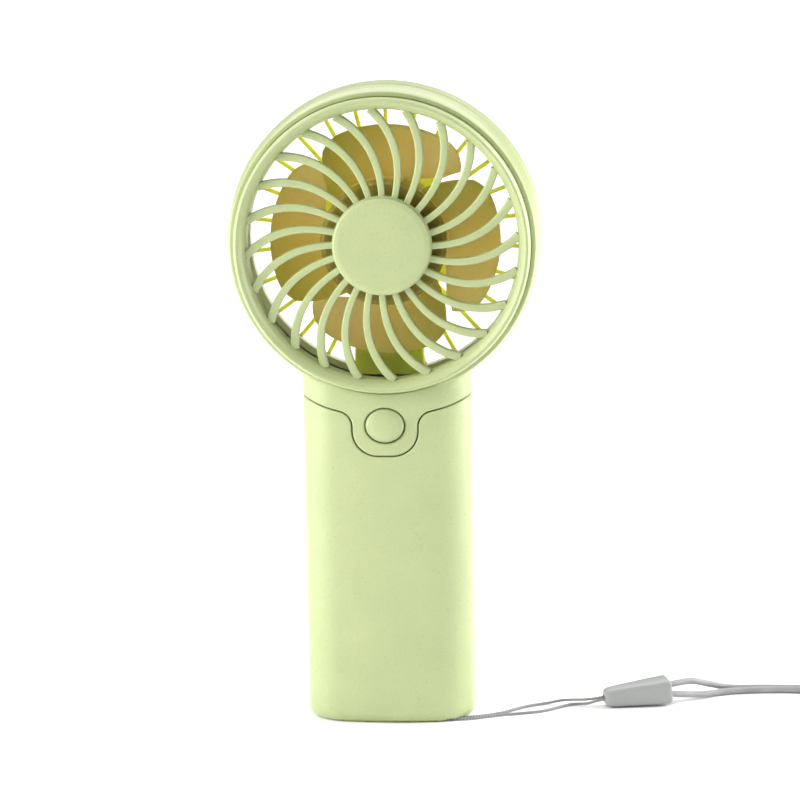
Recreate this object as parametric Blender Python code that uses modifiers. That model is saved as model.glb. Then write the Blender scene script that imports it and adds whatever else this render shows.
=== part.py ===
"""Handheld electric fan: a round head with a four-blade impeller, a slab handle and a wrist strap.

The fan stands on its base with the middle of the base at the origin, faces -Y and has +Z up.
Sizes below are millimetres. MM turns them into Blender's metres. In the head, places along the
fan's axis are given as "front", the distance in front of the mid-plane, which is -Y.
"""
import math

import bmesh
import bpy
from mathutils import Vector

MM = 0.001
GAP = 0.3                   # clearance between neighbouring pieces

# Head
HEAD_Z = 144.0              # height of the fan's axis
HEAD_R = 46.0               # outer radius of the drum
DRUM_BORE_R = 43.6          # inner radius of the drum
BEZEL_R = 43.2              # outer radius of the front ring
BEZEL_FRONT = 16.5
DRUM_BACK = -16.5
FRONT_RIB_COUNT = 24
REAR_RIB_COUNT = 26
TURN_STEPS = 48             # facets around the drum and its rings
HUB_STEPS = 36              # facets around the hubs
MOTOR_STEPS = 28            # facets around the motor and the cells
SMALL_STEPS = 16            # facets around shafts, bearings and screws

# Front grille
HUB_RING_R = 14.6
CAP_R = 14.2
FRONT_RIB_SWEEP = 20.0      # degrees between a rib's inner and outer end
FRONT_RIB_PHASE = 14.3      # angle of the first rib's inner end

# Impeller and motor
BLADE_COUNT = 4
BLADE_TIP_R = 34.0
IMPELLER_HUB_R = 18.5
BLADE_THICKNESS = 1.4
BLADE_REACH = 4.4           # how far a blade's ends stand in front of and behind its middle
SHAFT_R = 1.0
SHAFT_BORE_R = SHAFT_R + GAP
MOTOR_R = 12.2
MOTOR_SCREW_X = 8.0

# Rear grille
REAR_HUB_R = 21.0
CUP_R = 17.3
CUP_BORE_R = 15.8
REAR_RIB_PHASE = 7.6        # the rear ribs are straight and radial
REAR_RIB_BACK = -13.5
REAR_RIB_FRONT = -12.2
STRUT_HALF_WIDTH = 10.4
STRUT_FRONT = -6.5
CHANNEL_HALF_WIDTH = 3.5

# Handle
HANDLE_WIDTH = 49.7
HANDLE_DEPTH = 27.0
HANDLE_CORNER_R = 9.5
BASE_FILLET = 3.5
WALL = 2.0
SLEEVE_FLOOR = 7.0          # height where the handle's hollow starts
SEAM_R = 66.0               # radius of the seam between head and handle
SEAM_CENTRE_Z = 159.5
SEAM_GAP = 0.4
TAB_HALF_WIDTH = 9.7
TAB_BOTTOM_Z = 81.6
TAB_CORNER_R = 7.5
TAB_FILLET_R = 4.6

# Power button and its board
BUTTON_Z = 90.75
BUTTON_R = 5.7              # half width, and BUTTON_SQUASH gives the height
BUTTON_SQUASH = 0.886
BOARD_FRONT = 5.3
BOARD_BACK = 4.1
BOARD_HALF_WIDTH = 21.0
BOARD_LOW_Z = 76.0
BOARD_HIGH_Z = 96.5
PORT_Z = 86.5
LED_Z = 78.5
PORT_FRONT = 2.2            # middle of the charging port, in front of the mid-plane

# Batteries
CELL_R = 9.2
CELL_LENGTH = 65.0
CELL_X = 9.6
CELL_Y = -1.5
TRAY_HALF_WIDTH = 19.5
SHELF_HALF_WIDTH = 18.5

# Case screws
CASE_SCREW_X = 17.5
CASE_SCREW_Z = 100.5

# Strap
THIN_CORD_R = 0.45
WRIST_CORD_R = 1.0
EYELET_X = 17.0
EYELET_Y = -8.2
EYELET_BAR_R = 0.7
EYELET_BAR_Z = 2.0
BEAD_NOSE = (63.4, 6.4, 2.8)
BEAD_TAIL = (83.0, 11.2, 4.1)

COLLECTION = "handheld_fan"


# ---------------------------------------------------------------- scene helpers

def clear_scene():
    for old in list(bpy.data.objects):
        bpy.data.objects.remove(old)


def collection(name):
    found = bpy.data.collections.get(name)
    if found is None:
        found = bpy.data.collections.new(name)
        bpy.context.scene.collection.children.link(found)
    return found


def material(name, colour, roughness, metallic=0.0):
    made = bpy.data.materials.new(name)
    made.use_nodes = True
    shader = made.node_tree.nodes["Principled BSDF"]
    shader.inputs["Base Color"].default_value = (*colour, 1.0)
    shader.inputs["Roughness"].default_value = roughness
    shader.inputs["Metallic"].default_value = metallic
    made.diffuse_color = (*colour, 1.0)
    return made


def add_object(name, data, paint):
    made = bpy.data.objects.new(name, data)
    collection(COLLECTION).objects.link(made)
    if paint is not None:
        data.materials.append(paint)
    return made


def as_tool(tool):
    """Turn an object into a hidden Boolean operand."""
    tool.hide_render = True
    tool.display_type = "WIRE"
    for holder in list(tool.users_collection):
        holder.objects.unlink(tool)
    collection("cutters").objects.link(tool)


def combine(target, tool, operation):
    step = target.modifiers.new(tool.name, "BOOLEAN")
    step.operation = operation
    step.solver = "EXACT"
    step.object = tool
    as_tool(tool)


def cut(target, tool):
    combine(target, tool, "DIFFERENCE")


def join(target, tool):
    combine(target, tool, "UNION")


def keep(target, tool):
    combine(target, tool, "INTERSECT")


def curve_to_mesh(made):
    """Replace a curve object by a closed mesh, so that it can take part in Booleans."""
    graph = bpy.context.evaluated_depsgraph_get()
    mesh = bpy.data.meshes.new_from_object(made.evaluated_get(graph))
    bm = bmesh.new()
    bm.from_mesh(mesh)
    bmesh.ops.remove_doubles(bm, verts=bm.verts, dist=0.00001)
    bmesh.ops.recalc_face_normals(bm, faces=bm.faces)
    bm.to_mesh(mesh)
    bm.free()
    name = made.name
    matrix = made.matrix_world.copy()
    bpy.data.objects.remove(made)
    solid = add_object(name, mesh, None)
    solid.matrix_world = matrix
    return solid


# ---------------------------------------------------------------- shape helpers

def turned(name, profile, paint, steps=TURN_STEPS, centre=(0.0, HEAD_Z), upright=None):
    """Spin a (radius, front) profile about a front-to-back axis through centre (x, z).

    The profile runs from front to back along its outer side. It is closed unless it starts and
    ends on the axis. With upright=(x, y) the axis is vertical and front is the height.
    """
    open_profile = profile[0][0] == 0.0 and profile[-1][0] == 0.0
    points = [(radius * MM, 0.0, front * MM) for radius, front in profile]
    edges = [(i, i + 1) for i in range(len(points) - 1)]
    if not open_profile:
        edges.append((len(points) - 1, 0))
    mesh = bpy.data.meshes.new(name)
    mesh.from_pydata(points, edges, [])
    made = add_object(name, mesh, paint)
    if upright is None:
        made.location = (centre[0] * MM, 0.0, centre[1] * MM)
        made.rotation_euler = (math.pi / 2, 0.0, 0.0)
    else:
        made.location = (upright[0] * MM, upright[1] * MM, 0.0)
    spin = made.modifiers.new("spin", "SCREW")
    spin.angle = 2 * math.pi
    spin.steps = steps
    spin.render_steps = steps
    spin.use_merge_vertices = True
    spin.merge_threshold = 0.00001
    spin.use_smooth_shade = True
    bpy.context.view_layer.update()
    return made


def plate(name, outline, front, back, paint, centre_z=0.0):
    """A flat plate facing the front, with an outline of (x, z) points."""
    data = bpy.data.curves.new(name, "CURVE")
    data.dimensions = "2D"
    data.fill_mode = "BOTH"
    data.extrude = (front - back) / 2 * MM
    line = data.splines.new("POLY")
    line.points.add(len(outline) - 1)
    for point, (x, z) in zip(line.points, outline):
        point.co = (x * MM, z * MM, 0.0, 1.0)
    line.use_cyclic_u = True
    made = add_object(name, data, None)
    made.location = (0.0, -(front + back) / 2 * MM, centre_z * MM)
    made.rotation_euler = (math.pi / 2, 0.0, 0.0)
    bpy.context.view_layer.update()
    solid = curve_to_mesh(made)
    if paint is not None:
        solid.data.materials.append(paint)
    return solid


def box(name, low, high, paint=None):
    """A box between two corners (x, y, z)."""
    bm = bmesh.new()
    bmesh.ops.create_cube(bm, size=1.0)
    size = [(b - a) * MM for a, b in zip(low, high)]
    bmesh.ops.scale(bm, vec=size, verts=bm.verts)
    mesh = bpy.data.meshes.new(name)
    bm.to_mesh(mesh)
    bm.free()
    made = add_object(name, mesh, paint)
    made.location = [(a + b) / 2 * MM for a, b in zip(low, high)]
    return made


def slab(name, width, depth, low_z, high_z, corner, fillet, paint):
    """An upright block with rounded corners and, where fillet is set, a rounded bottom edge."""
    bm = bmesh.new()
    bmesh.ops.create_cube(bm, size=1.0)
    size = (width * MM, depth * MM, (high_z - low_z) * MM)
    bmesh.ops.scale(bm, vec=size, verts=bm.verts)
    upright = [e for e in bm.edges if abs(e.verts[0].co.z - e.verts[1].co.z) > MM]
    bmesh.ops.bevel(bm, geom=upright, offset=corner * MM, segments=7, profile=0.5, affect="EDGES")
    if fillet:
        low = min(v.co.z for v in bm.verts)
        rim = [e for e in bm.edges if all(abs(v.co.z - low) < 0.01 * MM for v in e.verts)]
        bmesh.ops.bevel(bm, geom=rim, offset=fillet * MM, segments=4, profile=0.5, affect="EDGES")
    bmesh.ops.recalc_face_normals(bm, faces=bm.faces)
    mesh = bpy.data.meshes.new(name)
    bm.to_mesh(mesh)
    bm.free()
    made = add_object(name, mesh, paint)
    made.location = (0.0, 0.0, (low_z + high_z) / 2 * MM)
    return made


def rod(name, radius, start, end, paint=None, sides=SMALL_STEPS):
    """A straight round rod between two points (x, y, z)."""
    first, last = Vector(start) * MM, Vector(end) * MM
    bm = bmesh.new()
    bmesh.ops.create_cone(bm, cap_ends=True, segments=sides, radius1=radius * MM,
                          radius2=radius * MM, depth=(last - first).length)
    mesh = bpy.data.meshes.new(name)
    bm.to_mesh(mesh)
    bm.free()
    made = add_object(name, mesh, paint)
    made.location = (first + last) / 2
    made.rotation_mode = "QUATERNION"
    made.rotation_quaternion = (last - first).to_track_quat("Z", "Y")
    return made


def smooth_route(points, spacing):
    """Points a given distance apart along a smooth curve through the route's own points."""
    ends = [Vector(p) for p in points]
    ends = [2 * ends[0] - ends[1]] + ends + [2 * ends[-1] - ends[-2]]
    fine = []
    for a, b, c, d in zip(ends, ends[1:], ends[2:], ends[3:]):
        for i in range(24):
            t = i / 24
            fine.append(0.5 * (2 * b + (c - a) * t + (2 * a - 5 * b + 4 * c - d) * t ** 2
                               + (3 * b - 3 * c + d - a) * t ** 3))
    fine.append(ends[-2])
    length = sum((q - p).length for p, q in zip(fine, fine[1:]))
    count = max(2, round(length / spacing))
    route = [fine[0]]
    walked = 0.0
    for p, q in zip(fine, fine[1:]):
        step = (q - p).length
        while len(route) < count and walked + step >= len(route) * length / count:
            along = (len(route) * length / count - walked) / step
            route.append(p.lerp(q, along))
        walked += step
    route.append(fine[-1])
    return route


def cord(name, points, radius, paint, spacing):
    """A tube along a smooth route, kept as a curve with filled caps."""
    route = smooth_route(points, spacing)
    data = bpy.data.curves.new(name, "CURVE")
    data.dimensions = "3D"
    data.bevel_depth = radius * MM
    data.bevel_resolution = 2
    data.use_fill_caps = True
    line = data.splines.new("POLY")
    line.points.add(len(route) - 1)
    for point, place in zip(line.points, route):
        point.co = (*(place * MM), 1.0)
    return add_object(name, data, paint)


def polar(radius, degrees):
    angle = math.radians(degrees)
    return (radius * math.cos(angle), radius * math.sin(angle))


def arc(centre, radius, start, end, steps):
    """Points on a circle in the (x, z) plane, from one angle to another, in degrees."""
    points = []
    for i in range(steps + 1):
        x, z = polar(radius, start + (end - start) * i / steps)
        points.append((centre[0] + x, centre[1] + z))
    return points


# ---------------------------------------------------------------- outlines

def rib_outline(inner_r, outer_r, inner_width, outer_width, sweep, phase, steps):
    """Plan of one grille rib, about the fan's axis. It leaves the hub straight and bends on."""
    left, right = [], []
    for i in range(steps + 1):
        t = i / steps
        radius = inner_r + (outer_r - inner_r) * t
        x, z = polar(radius, phase + sweep * (0.24 * t + 0.76 * t ** 2))
        middle = Vector((x, z))
        turn = math.radians(sweep) * (0.24 + 1.52 * t) / (outer_r - inner_r) * radius
        along = middle.normalized() + turn * Vector((-z, x)).normalized()
        side = Vector((-along.y, along.x)).normalized()
        half = (inner_width + (outer_width - inner_width) * t) / 2
        left.append(tuple(middle + side * half))
        right.append(tuple(middle - side * half))
    return right + left[::-1]


def seam_line(grow, with_tab, reach):
    """Edge between head and handle from x = -reach to reach, as (x, z) points.

    grow moves the edge outwards from the head. With the tab, the edge leaves the seam's arc on a
    fillet, goes down the tab's side and round its corner.
    """
    radius = SEAM_R + grow
    half = TAB_HALF_WIDTH + grow
    corner = TAB_CORNER_R + grow
    fillet = TAB_FILLET_R - grow
    low = TAB_BOTTOM_Z - grow
    fillet_x = half + fillet
    fillet_z = SEAM_CENTRE_Z - math.sqrt((radius + fillet) ** 2 - fillet_x ** 2)
    meets = math.degrees(math.atan2(SEAM_CENTRE_Z - fillet_z, -fillet_x))
    leave = meets - 180.0
    reach_angle = -math.degrees(math.acos(reach / radius))
    centre = (0.0, SEAM_CENTRE_Z)
    outer = arc(centre, radius, leave, reach_angle, 5)
    if with_tab:
        inner = arc((half - corner, low + corner), corner, -90.0, 0.0, 7)
        inner += arc((fillet_x, fillet_z), fillet, 180.0, meets, 6)[:-1]
    else:
        inner = arc(centre, radius, -90.0, leave, 4)[1:-1]
    right = inner + outer
    left = [(-x, z) for x, z in right[::-1]]
    return left + right


def neck_outline(with_tab):
    """Head side of the seam, up to an arc about the fan's axis that ends inside the drum's wall."""
    reach = HANDLE_WIDTH / 2 + 0.5
    top_r = DRUM_BORE_R + 0.15
    corner = math.degrees(math.acos(reach / top_r))
    top = arc((0.0, HEAD_Z), top_r, -corner, corner - 180.0, 16)
    return seam_line(-SEAM_GAP / 2, with_tab, reach) + top


# ---------------------------------------------------------------- head

def make_front_grille(paint):
    ring = turned("front_grille", [
        (41.6, BEZEL_FRONT), (42.7, 16.1), (BEZEL_R, 15.2), (BEZEL_R, 6.0), (41.2, 6.0),
        (39.2, 9.0), (39.5, 13.5), (40.0, 15.4), (40.7, 16.2)], paint)
    hub = turned("front_hub_ring", [
        (HUB_RING_R, 13.6), (HUB_RING_R, 11.0), (9.3, 11.0), (9.3, 13.6)], None, HUB_STEPS)
    ribs = ribs_object("front_ribs", FRONT_RIB_COUNT, 13.8, 40.3, (1.9, 2.4), FRONT_RIB_SWEEP,
                       FRONT_RIB_PHASE, 13.4, 10.8, 6)
    join(ring, ribs)
    join(ring, hub)


def ribs_object(name, count, inner_r, outer_r, widths, sweep, phase, front, back, steps):
    """All ribs of a grille in one operand. They don't touch each other."""
    bm = bmesh.new()
    for k in range(count):
        outline = rib_outline(inner_r, outer_r, *widths, sweep, phase + 360.0 * k / count, steps)
        rib = plate("rib", outline, front, back, None, HEAD_Z)
        copy = rib.data.copy()
        copy.transform(rib.matrix_world)
        bm.from_mesh(copy)
        bpy.data.objects.remove(rib)
    mesh = bpy.data.meshes.new(name)
    bm.to_mesh(mesh)
    bm.free()
    return add_object(name, mesh, None)


def make_grille_cap(paint):
    turned("grille_cap", [
        (0.0, 15.6), (8.0, 15.55), (13.1, 15.4), (13.9, 15.0), (CAP_R, 14.4), (CAP_R, 13.9),
        (9.0, 13.9), (9.0, 11.4), (0.0, 11.4)], paint, HUB_STEPS)


def neck_block(name, outline, front, back):
    """The part of the neck between two depths, with the handle's rounded corners."""
    block = slab(name, HANDLE_WIDTH, HANDLE_DEPTH, 70.0, 120.0, HANDLE_CORNER_R, 0.0, None)
    keep(block, plate(name + "_limit", outline, front, back, None))
    return block


def neck_hollow(name, front, back):
    """The hollow of the neck between two depths."""
    depth = HANDLE_DEPTH - 2 * WALL
    half = HANDLE_WIDTH / 2 - WALL
    hollow = slab(name, 2 * half, depth, 70.0, 120.0, HANDLE_CORNER_R - WALL, 0.0, None)
    outline = [(-half - 1.0, 75.0), (half + 1.0, 75.0)]
    outline += arc((0.0, HEAD_Z), HEAD_R + 0.4, -57.0, -123.0, 16)
    keep(hollow, plate(name + "_limit", outline, front, back, None))
    return hollow


def split_box(name, low_y, high_y):
    """Everything on one side of the plane where the two shells meet."""
    return box(name, (-60.0, low_y, 70.0), (60.0, high_y, 200.0))


def make_front_shell(paint):
    shell = turned("front_shell", [
        (44.3, 12.1), (45.3, 9.2), (45.85, 6.0), (HEAD_R, 3.0), (HEAD_R, -1.0),
        (DRUM_BORE_R, -1.0), (DRUM_BORE_R, 12.1)], paint)
    half = HANDLE_DEPTH / 2
    join(shell, neck_block("front_neck", neck_outline(True), half + 1.0, -2.0))
    cut(shell, neck_hollow("front_neck_hollow", half, -3.0))
    for side in (-1, 1):
        x = side * CASE_SCREW_X
        join(shell, rod("front_boss", 2.6, (x, -half + 1.0, CASE_SCREW_Z), (x, 3.5, CASE_SCREW_Z)))
    for side in (-1, 1):
        x = side * CASE_SCREW_X
        cut(shell, rod("front_boss_bore", 1.25, (x, -8.5, CASE_SCREW_Z), (x, 5.0, CASE_SCREW_Z)))
    cut(shell, split_box("behind_split", -GAP / 2, 20.0))
    hole = turned("button_hole", [(0.0, 15.0), (BUTTON_R + GAP, 15.0), (BUTTON_R + GAP, 11.0),
                                  (0.0, 11.0)], None, MOTOR_STEPS, (0.0, BUTTON_Z))
    hole.scale.y = BUTTON_SQUASH
    cut(shell, hole)


def make_rear_shell(paint):
    shell = turned("rear_shell", [
        (HEAD_R, 1.0), (HEAD_R, -7.0), (45.5, -10.8), (44.5, -14.0), (43.3, -15.9),
        (42.4, DRUM_BACK), (41.8, -16.2), (41.6, -14.0), (DRUM_BORE_R, -14.0),
        (DRUM_BORE_R, 1.0)], paint)
    half = HANDLE_DEPTH / 2
    join(shell, neck_block("rear_neck", neck_outline(False), 2.0, -half - 1.0))
    cut(shell, neck_hollow("rear_neck_hollow", 3.0, -half))
    cut(shell, box("wire_hole", (-3.8, 7.4, 96.5), (3.8, 10.6, 102.0)))
    for side in (-1, 1):
        x = side * CASE_SCREW_X
        join(shell, rod("rear_boss", 2.9, (x, -3.5, CASE_SCREW_Z), (x, half - 0.6, CASE_SCREW_Z)))
    for side in (-1, 1):
        x = side * CASE_SCREW_X
        cut(shell, rod("rear_bore", 1.25, (x, -5.0, CASE_SCREW_Z), (x, half + 1.0, CASE_SCREW_Z)))
        cut(shell, rod("rear_recess", 2.3, (x, 11.7, CASE_SCREW_Z), (x, half + 1.0, CASE_SCREW_Z)))
    cut(shell, split_box("before_split", -20.0, GAP / 2))


def make_rear_grille(paint):
    ring = turned("rear_grille", [
        (BEZEL_R, -10.8), (BEZEL_R, -13.7), (40.4, -13.7), (40.4, -10.8)], paint)
    cup = turned("motor_cup", [
        (CUP_R, -3.9), (CUP_R, -11.9), (REAR_HUB_R, -11.9), (REAR_HUB_R, -13.7), (CUP_R, -13.7),
        (CUP_R, -16.0), (CUP_BORE_R, -16.0), (CUP_BORE_R, -11.7), (3.2, -11.7), (3.2, -10.2),
        (CUP_BORE_R, -10.2), (CUP_BORE_R, -3.9)], None, HUB_STEPS)
    join(ring, ribs_object("rear_ribs", REAR_RIB_COUNT, 20.4, 41.0, (1.3, 1.2), 0.0, REAR_RIB_PHASE,
                           REAR_RIB_FRONT, REAR_RIB_BACK, 3))
    join(ring, cup)
    strut = plate("wire_strut", [(-STRUT_HALF_WIDTH, -41.6), (STRUT_HALF_WIDTH, -41.6),
                                 (STRUT_HALF_WIDTH - 0.9, -16.3), (-STRUT_HALF_WIDTH + 0.9, -16.3)],
                  STRUT_FRONT, -13.6, None, HEAD_Z)
    join(ring, strut)
    low, high = HEAD_Z - 44.5, HEAD_Z - 15.0
    cut(ring, box("wire_channel", (-CHANNEL_HALF_WIDTH, 7.9, low),
                  (CHANNEL_HALF_WIDTH, 9.9, high)))
    cut(ring, box("cover_recess", (-CHANNEL_HALF_WIDTH, 9.0, HEAD_Z - 40.2),
                  (CHANNEL_HALF_WIDTH, 15.0, HEAD_Z - REAR_HUB_R - 0.4)))
    for side in (-1, 1):
        x = side * MOTOR_SCREW_X
        cut(ring, rod("motor_screw_hole", 1.3, (x, 9.0, HEAD_Z), (x, 13.0, HEAD_Z)))


def make_rear_covers(shell_paint):
    turned("rear_hub_cap", [(0.0, -14.4), (15.4, -14.4), (15.4, -15.8), (14.6, -16.4), (0.0, -16.4)],
           shell_paint, HUB_STEPS)
    box("wire_cover", (-CHANNEL_HALF_WIDTH + GAP, 12.2, HEAD_Z - 39.9),
        (CHANNEL_HALF_WIDTH - GAP, 13.5, HEAD_Z - REAR_HUB_R - 0.7), shell_paint)


def blade_outline(s):
    """Inner and outer edge of the upper blade at s, from its wide end (0) to its narrow tip (1).

    The inner edge follows the hub and then leaves it on a tangent. Returns two (radius, angle).
    """
    inner_angle = 145.0 - 99.0 * s
    inner_r = IMPELLER_HUB_R - 0.9
    if inner_angle < 90.0:
        inner_r = inner_r / math.sin(math.radians(inner_angle))
    outer_angle = 124.0 - 83.0 * s
    wide_end = max(0.0, 1.0 - s / 0.16)
    narrow_end = max(0.0, (s - 0.78) / 0.22)
    outer_r = BLADE_TIP_R - 2.2 * wide_end ** 2 - 4.6 * narrow_end ** 2.4
    return (inner_r, inner_angle), (outer_r, outer_angle)


def blades_object():
    """The four blades as one operand: pitched sheets given their thickness by Solidify."""
    along, across = 10, 2
    bm = bmesh.new()
    for k in range(BLADE_COUNT):
        rows = []
        for i in range(along + 1):
            inner, outer = blade_outline(i / along)
            row = []
            for j in range(across + 1):
                t = j / across
                radius = inner[0] + (outer[0] - inner[0]) * t
                angle = inner[1] + (outer[1] - inner[1]) * t
                front = BLADE_REACH * (angle - 88.0) / 48.0
                x, z = polar(radius, angle + 360.0 * k / BLADE_COUNT)
                row.append(bm.verts.new((x * MM, -front * MM, (HEAD_Z + z) * MM)))
            rows.append(row)
        for near, far in zip(rows, rows[1:]):
            for a, b, c, d in zip(near, near[1:], far[1:], far):
                bm.faces.new((a, b, c, d))
    mesh = bpy.data.meshes.new("blades")
    bm.to_mesh(mesh)
    bm.free()
    made = add_object("blades", mesh, None)
    skin = made.modifiers.new("thickness", "SOLIDIFY")
    skin.thickness = BLADE_THICKNESS * MM
    skin.offset = 0.0
    return made


def make_impeller(paint):
    hub = turned("impeller", [
        (SHAFT_BORE_R, 8.3), (17.2, 8.3), (18.2, 7.8), (IMPELLER_HUB_R, 6.8),
        (IMPELLER_HUB_R, -3.2), (17.0, -3.2), (17.0, 6.8), (4.0, 6.8), (4.0, 4.9),
        (SHAFT_BORE_R, 4.9)], paint, HUB_STEPS)
    join(hub, blades_object())


def make_motor(steel, magnet, copper, plastic, brass):
    turned("motor_can", [(2.8, 3.3), (11.5, 3.3), (MOTOR_R, 2.6), (MOTOR_R, -7.6), (11.2, -7.6),
                         (11.2, 2.3), (2.8, 2.3)], steel, MOTOR_STEPS)
    turned("motor_magnet", [(10.9, 1.9), (10.9, -6.5), (9.6, -6.5), (9.6, 1.9)], magnet, MOTOR_STEPS)
    turned("motor_armature", [(SHAFT_BORE_R, 0.6), (9.0, 0.6), (9.0, -6.0), (SHAFT_BORE_R, -6.0)],
           copper, MOTOR_STEPS)
    turned("motor_shaft", [(0.0, 8.0), (SHAFT_R, 8.0), (SHAFT_R, -9.9), (0.0, -9.9)], steel, SMALL_STEPS)
    turned("motor_bearing_front", [(3.6, 4.5), (3.6, 3.6), (2.5, 3.6), (2.5, 1.2),
                                   (SHAFT_BORE_R, 1.2), (SHAFT_BORE_R, 4.5)], brass, SMALL_STEPS)
    turned("motor_bearing_rear", [(2.5, -6.6), (2.5, -9.8), (SHAFT_BORE_R, -9.8),
                                  (SHAFT_BORE_R, -6.6)], brass, SMALL_STEPS)
    bell = turned("motor_end_bell", [(2.8, -7.9), (MOTOR_R, -7.9), (MOTOR_R, -9.9), (2.8, -9.9)],
                  plastic, MOTOR_STEPS)
    for side in (-1, 1):
        x = side * MOTOR_SCREW_X
        cut(bell, rod("end_bell_hole", 1.3, (x, 7.0, HEAD_Z), (x, 11.0, HEAD_Z)))


def screw(name, x, z, head_back, head_r, shank_r, length, steel):
    """A pan-head screw pointing to the front, with its head at the back."""
    turned(name, [(0.0, head_back + 1.0 + length), (shank_r, head_back + 1.0 + length),
                  (shank_r, head_back + 1.0), (head_r, head_back + 1.0), (head_r, head_back + 0.3),
                  (head_r - 0.4, head_back), (0.0, head_back)], steel, SMALL_STEPS,
           (x, z))


def make_screws(steel):
    for number, side in enumerate((-1, 1), 1):
        screw(f"motor_screw_{number}", side * MOTOR_SCREW_X, HEAD_Z, -13.05, 2.0, SHAFT_R, 3.9, steel)
    for number, side in enumerate((-1, 1), 1):
        screw(f"case_screw_{number}", side * CASE_SCREW_X, CASE_SCREW_Z, -13.0, 2.0, 0.95, 19.4,
              steel)


# ---------------------------------------------------------------- handle

def make_sleeve(paint):
    half = HANDLE_DEPTH / 2
    sleeve = slab("handle_sleeve", HANDLE_WIDTH, HANDLE_DEPTH, 0.0, 104.0, HANDLE_CORNER_R,
                  BASE_FILLET, paint)
    cut(sleeve, slab("sleeve_hollow", HANDLE_WIDTH - 2 * WALL, HANDLE_DEPTH - 2 * WALL,
                     SLEEVE_FLOOR, 110.0, HANDLE_CORNER_R - WALL, 0.0, None))
    wide = HANDLE_WIDTH / 2 + 1.0
    top = [(wide, 115.0), (-wide, 115.0)]
    cut(sleeve, plate("above_seam", seam_line(SEAM_GAP / 2, False, wide) + top, 20.0, -20.0, None))
    notch = seam_line(SEAM_GAP / 2, True, wide)[5:-5]
    notch += [(notch[-1][0], 100.0), (notch[0][0], 100.0)]
    cut(sleeve, plate("tab_notch", notch, half + 1.0, half - WALL - 1.0, None))
    cut(sleeve, box("port_slot", (-26.0, -PORT_FRONT - 1.95, PORT_Z - 4.8),
                    (-22.0, -PORT_FRONT + 1.95, PORT_Z + 4.8)))
    cut(sleeve, rod("led_hole", 1.6, (-26.0, -PORT_FRONT, LED_Z), (-22.0, -PORT_FRONT, LED_Z)))
    cut(sleeve, box("eyelet_pocket", (EYELET_X - 2.9, EYELET_Y - 2.0, -1.0),
                    (EYELET_X + 3.0, EYELET_Y + 2.0, 4.5)))
    cut(sleeve, box("eyelet_groove", (EYELET_X, EYELET_Y - 1.6, -1.0), (27.0, EYELET_Y + 1.6, 1.3)))
    join(sleeve, rod("eyelet_bar", EYELET_BAR_R, (EYELET_X, EYELET_Y - 2.6, EYELET_BAR_Z),
                     (EYELET_X, EYELET_Y + 2.6, EYELET_BAR_Z), None, 12))


def make_battery_tray(paint):
    """A back plate with a shelf for the cells and four posts for the board."""
    low = SLEEVE_FLOOR + GAP
    tray = box("battery_tray", (-TRAY_HALF_WIDTH, 8.2, low), (TRAY_HALF_WIDTH, 9.6, 95.0), paint)
    join(tray, box("tray_shelf", (-SHELF_HALF_WIDTH, -10.4, low), (SHELF_HALF_WIDTH, 8.9, 8.4)))
    for x in (-13.0, 13.0):
        for z in (79.5, 92.0):
            join(tray, rod("board_post", 1.8, (x, -BOARD_BACK + GAP, z), (x, 8.9, z)))


def make_cells(paint):
    low = 8.7
    high = low + CELL_LENGTH
    for number, side in enumerate((-1, 1), 1):
        turned(f"battery_cell_{number}", [
            (0.0, high), (3.0, high), (3.0, high - 1.0), (CELL_R - 0.6, high - 1.0),
            (CELL_R, high - 1.8), (CELL_R, low + 0.5), (CELL_R - 0.5, low), (0.0, low)],
            paint, MOTOR_STEPS, upright=(side * CELL_X, CELL_Y))


def make_board(board_paint, black, metal, lens_paint, white):
    box("control_board", (-BOARD_HALF_WIDTH, -BOARD_FRONT, BOARD_LOW_Z),
        (BOARD_HALF_WIDTH, -BOARD_BACK, BOARD_HIGH_Z), board_paint)
    switch = box("push_switch", (-3.0, -8.4, BUTTON_Z - 3.0), (3.0, -5.6, BUTTON_Z + 3.0), black)
    cut(switch, rod("switch_bore", 1.9, (0.0, -9.5, BUTTON_Z), (0.0, -6.0, BUTTON_Z)))
    rod("switch_plunger", 1.6, (0.0, -9.3, BUTTON_Z), (0.0, -7.0, BUTTON_Z), white)
    port = box("usb_port", (-24.3, -PORT_FRONT - 1.6, PORT_Z - 4.45),
               (-16.9, -PORT_FRONT + 1.6, PORT_Z + 4.45), metal)
    edge = port.modifiers.new("round", "BEVEL")
    edge.width = 1.2 * MM
    edge.segments = 3
    edge.limit_method = "ANGLE"
    cut(port, box("port_mouth", (-25.0, -PORT_FRONT - 1.2, PORT_Z - 4.05),
                  (-17.6, -PORT_FRONT + 1.2, PORT_Z + 4.05)))
    join(port, box("port_tongue", (-23.8, -PORT_FRONT - 0.35, PORT_Z - 3.3),
                   (-17.2, -PORT_FRONT + 0.35, PORT_Z + 3.3)))
    rod("charge_led", 1.3, (-24.6, -PORT_FRONT, LED_Z), (-21.4, -PORT_FRONT, LED_Z), lens_paint)


def make_button(paint):
    button = turned("power_button", [
        (0.0, 15.0), (2.6, 14.9), (4.4, 14.5), (5.3, 13.9), (BUTTON_R, 13.0), (BUTTON_R, 11.2),
        (6.5, 11.2), (6.5, 10.5), (1.9, 10.5), (1.9, 9.6), (0.0, 9.6)], paint, MOTOR_STEPS,
        (0.0, BUTTON_Z))
    button.scale.y = BUTTON_SQUASH


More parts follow.
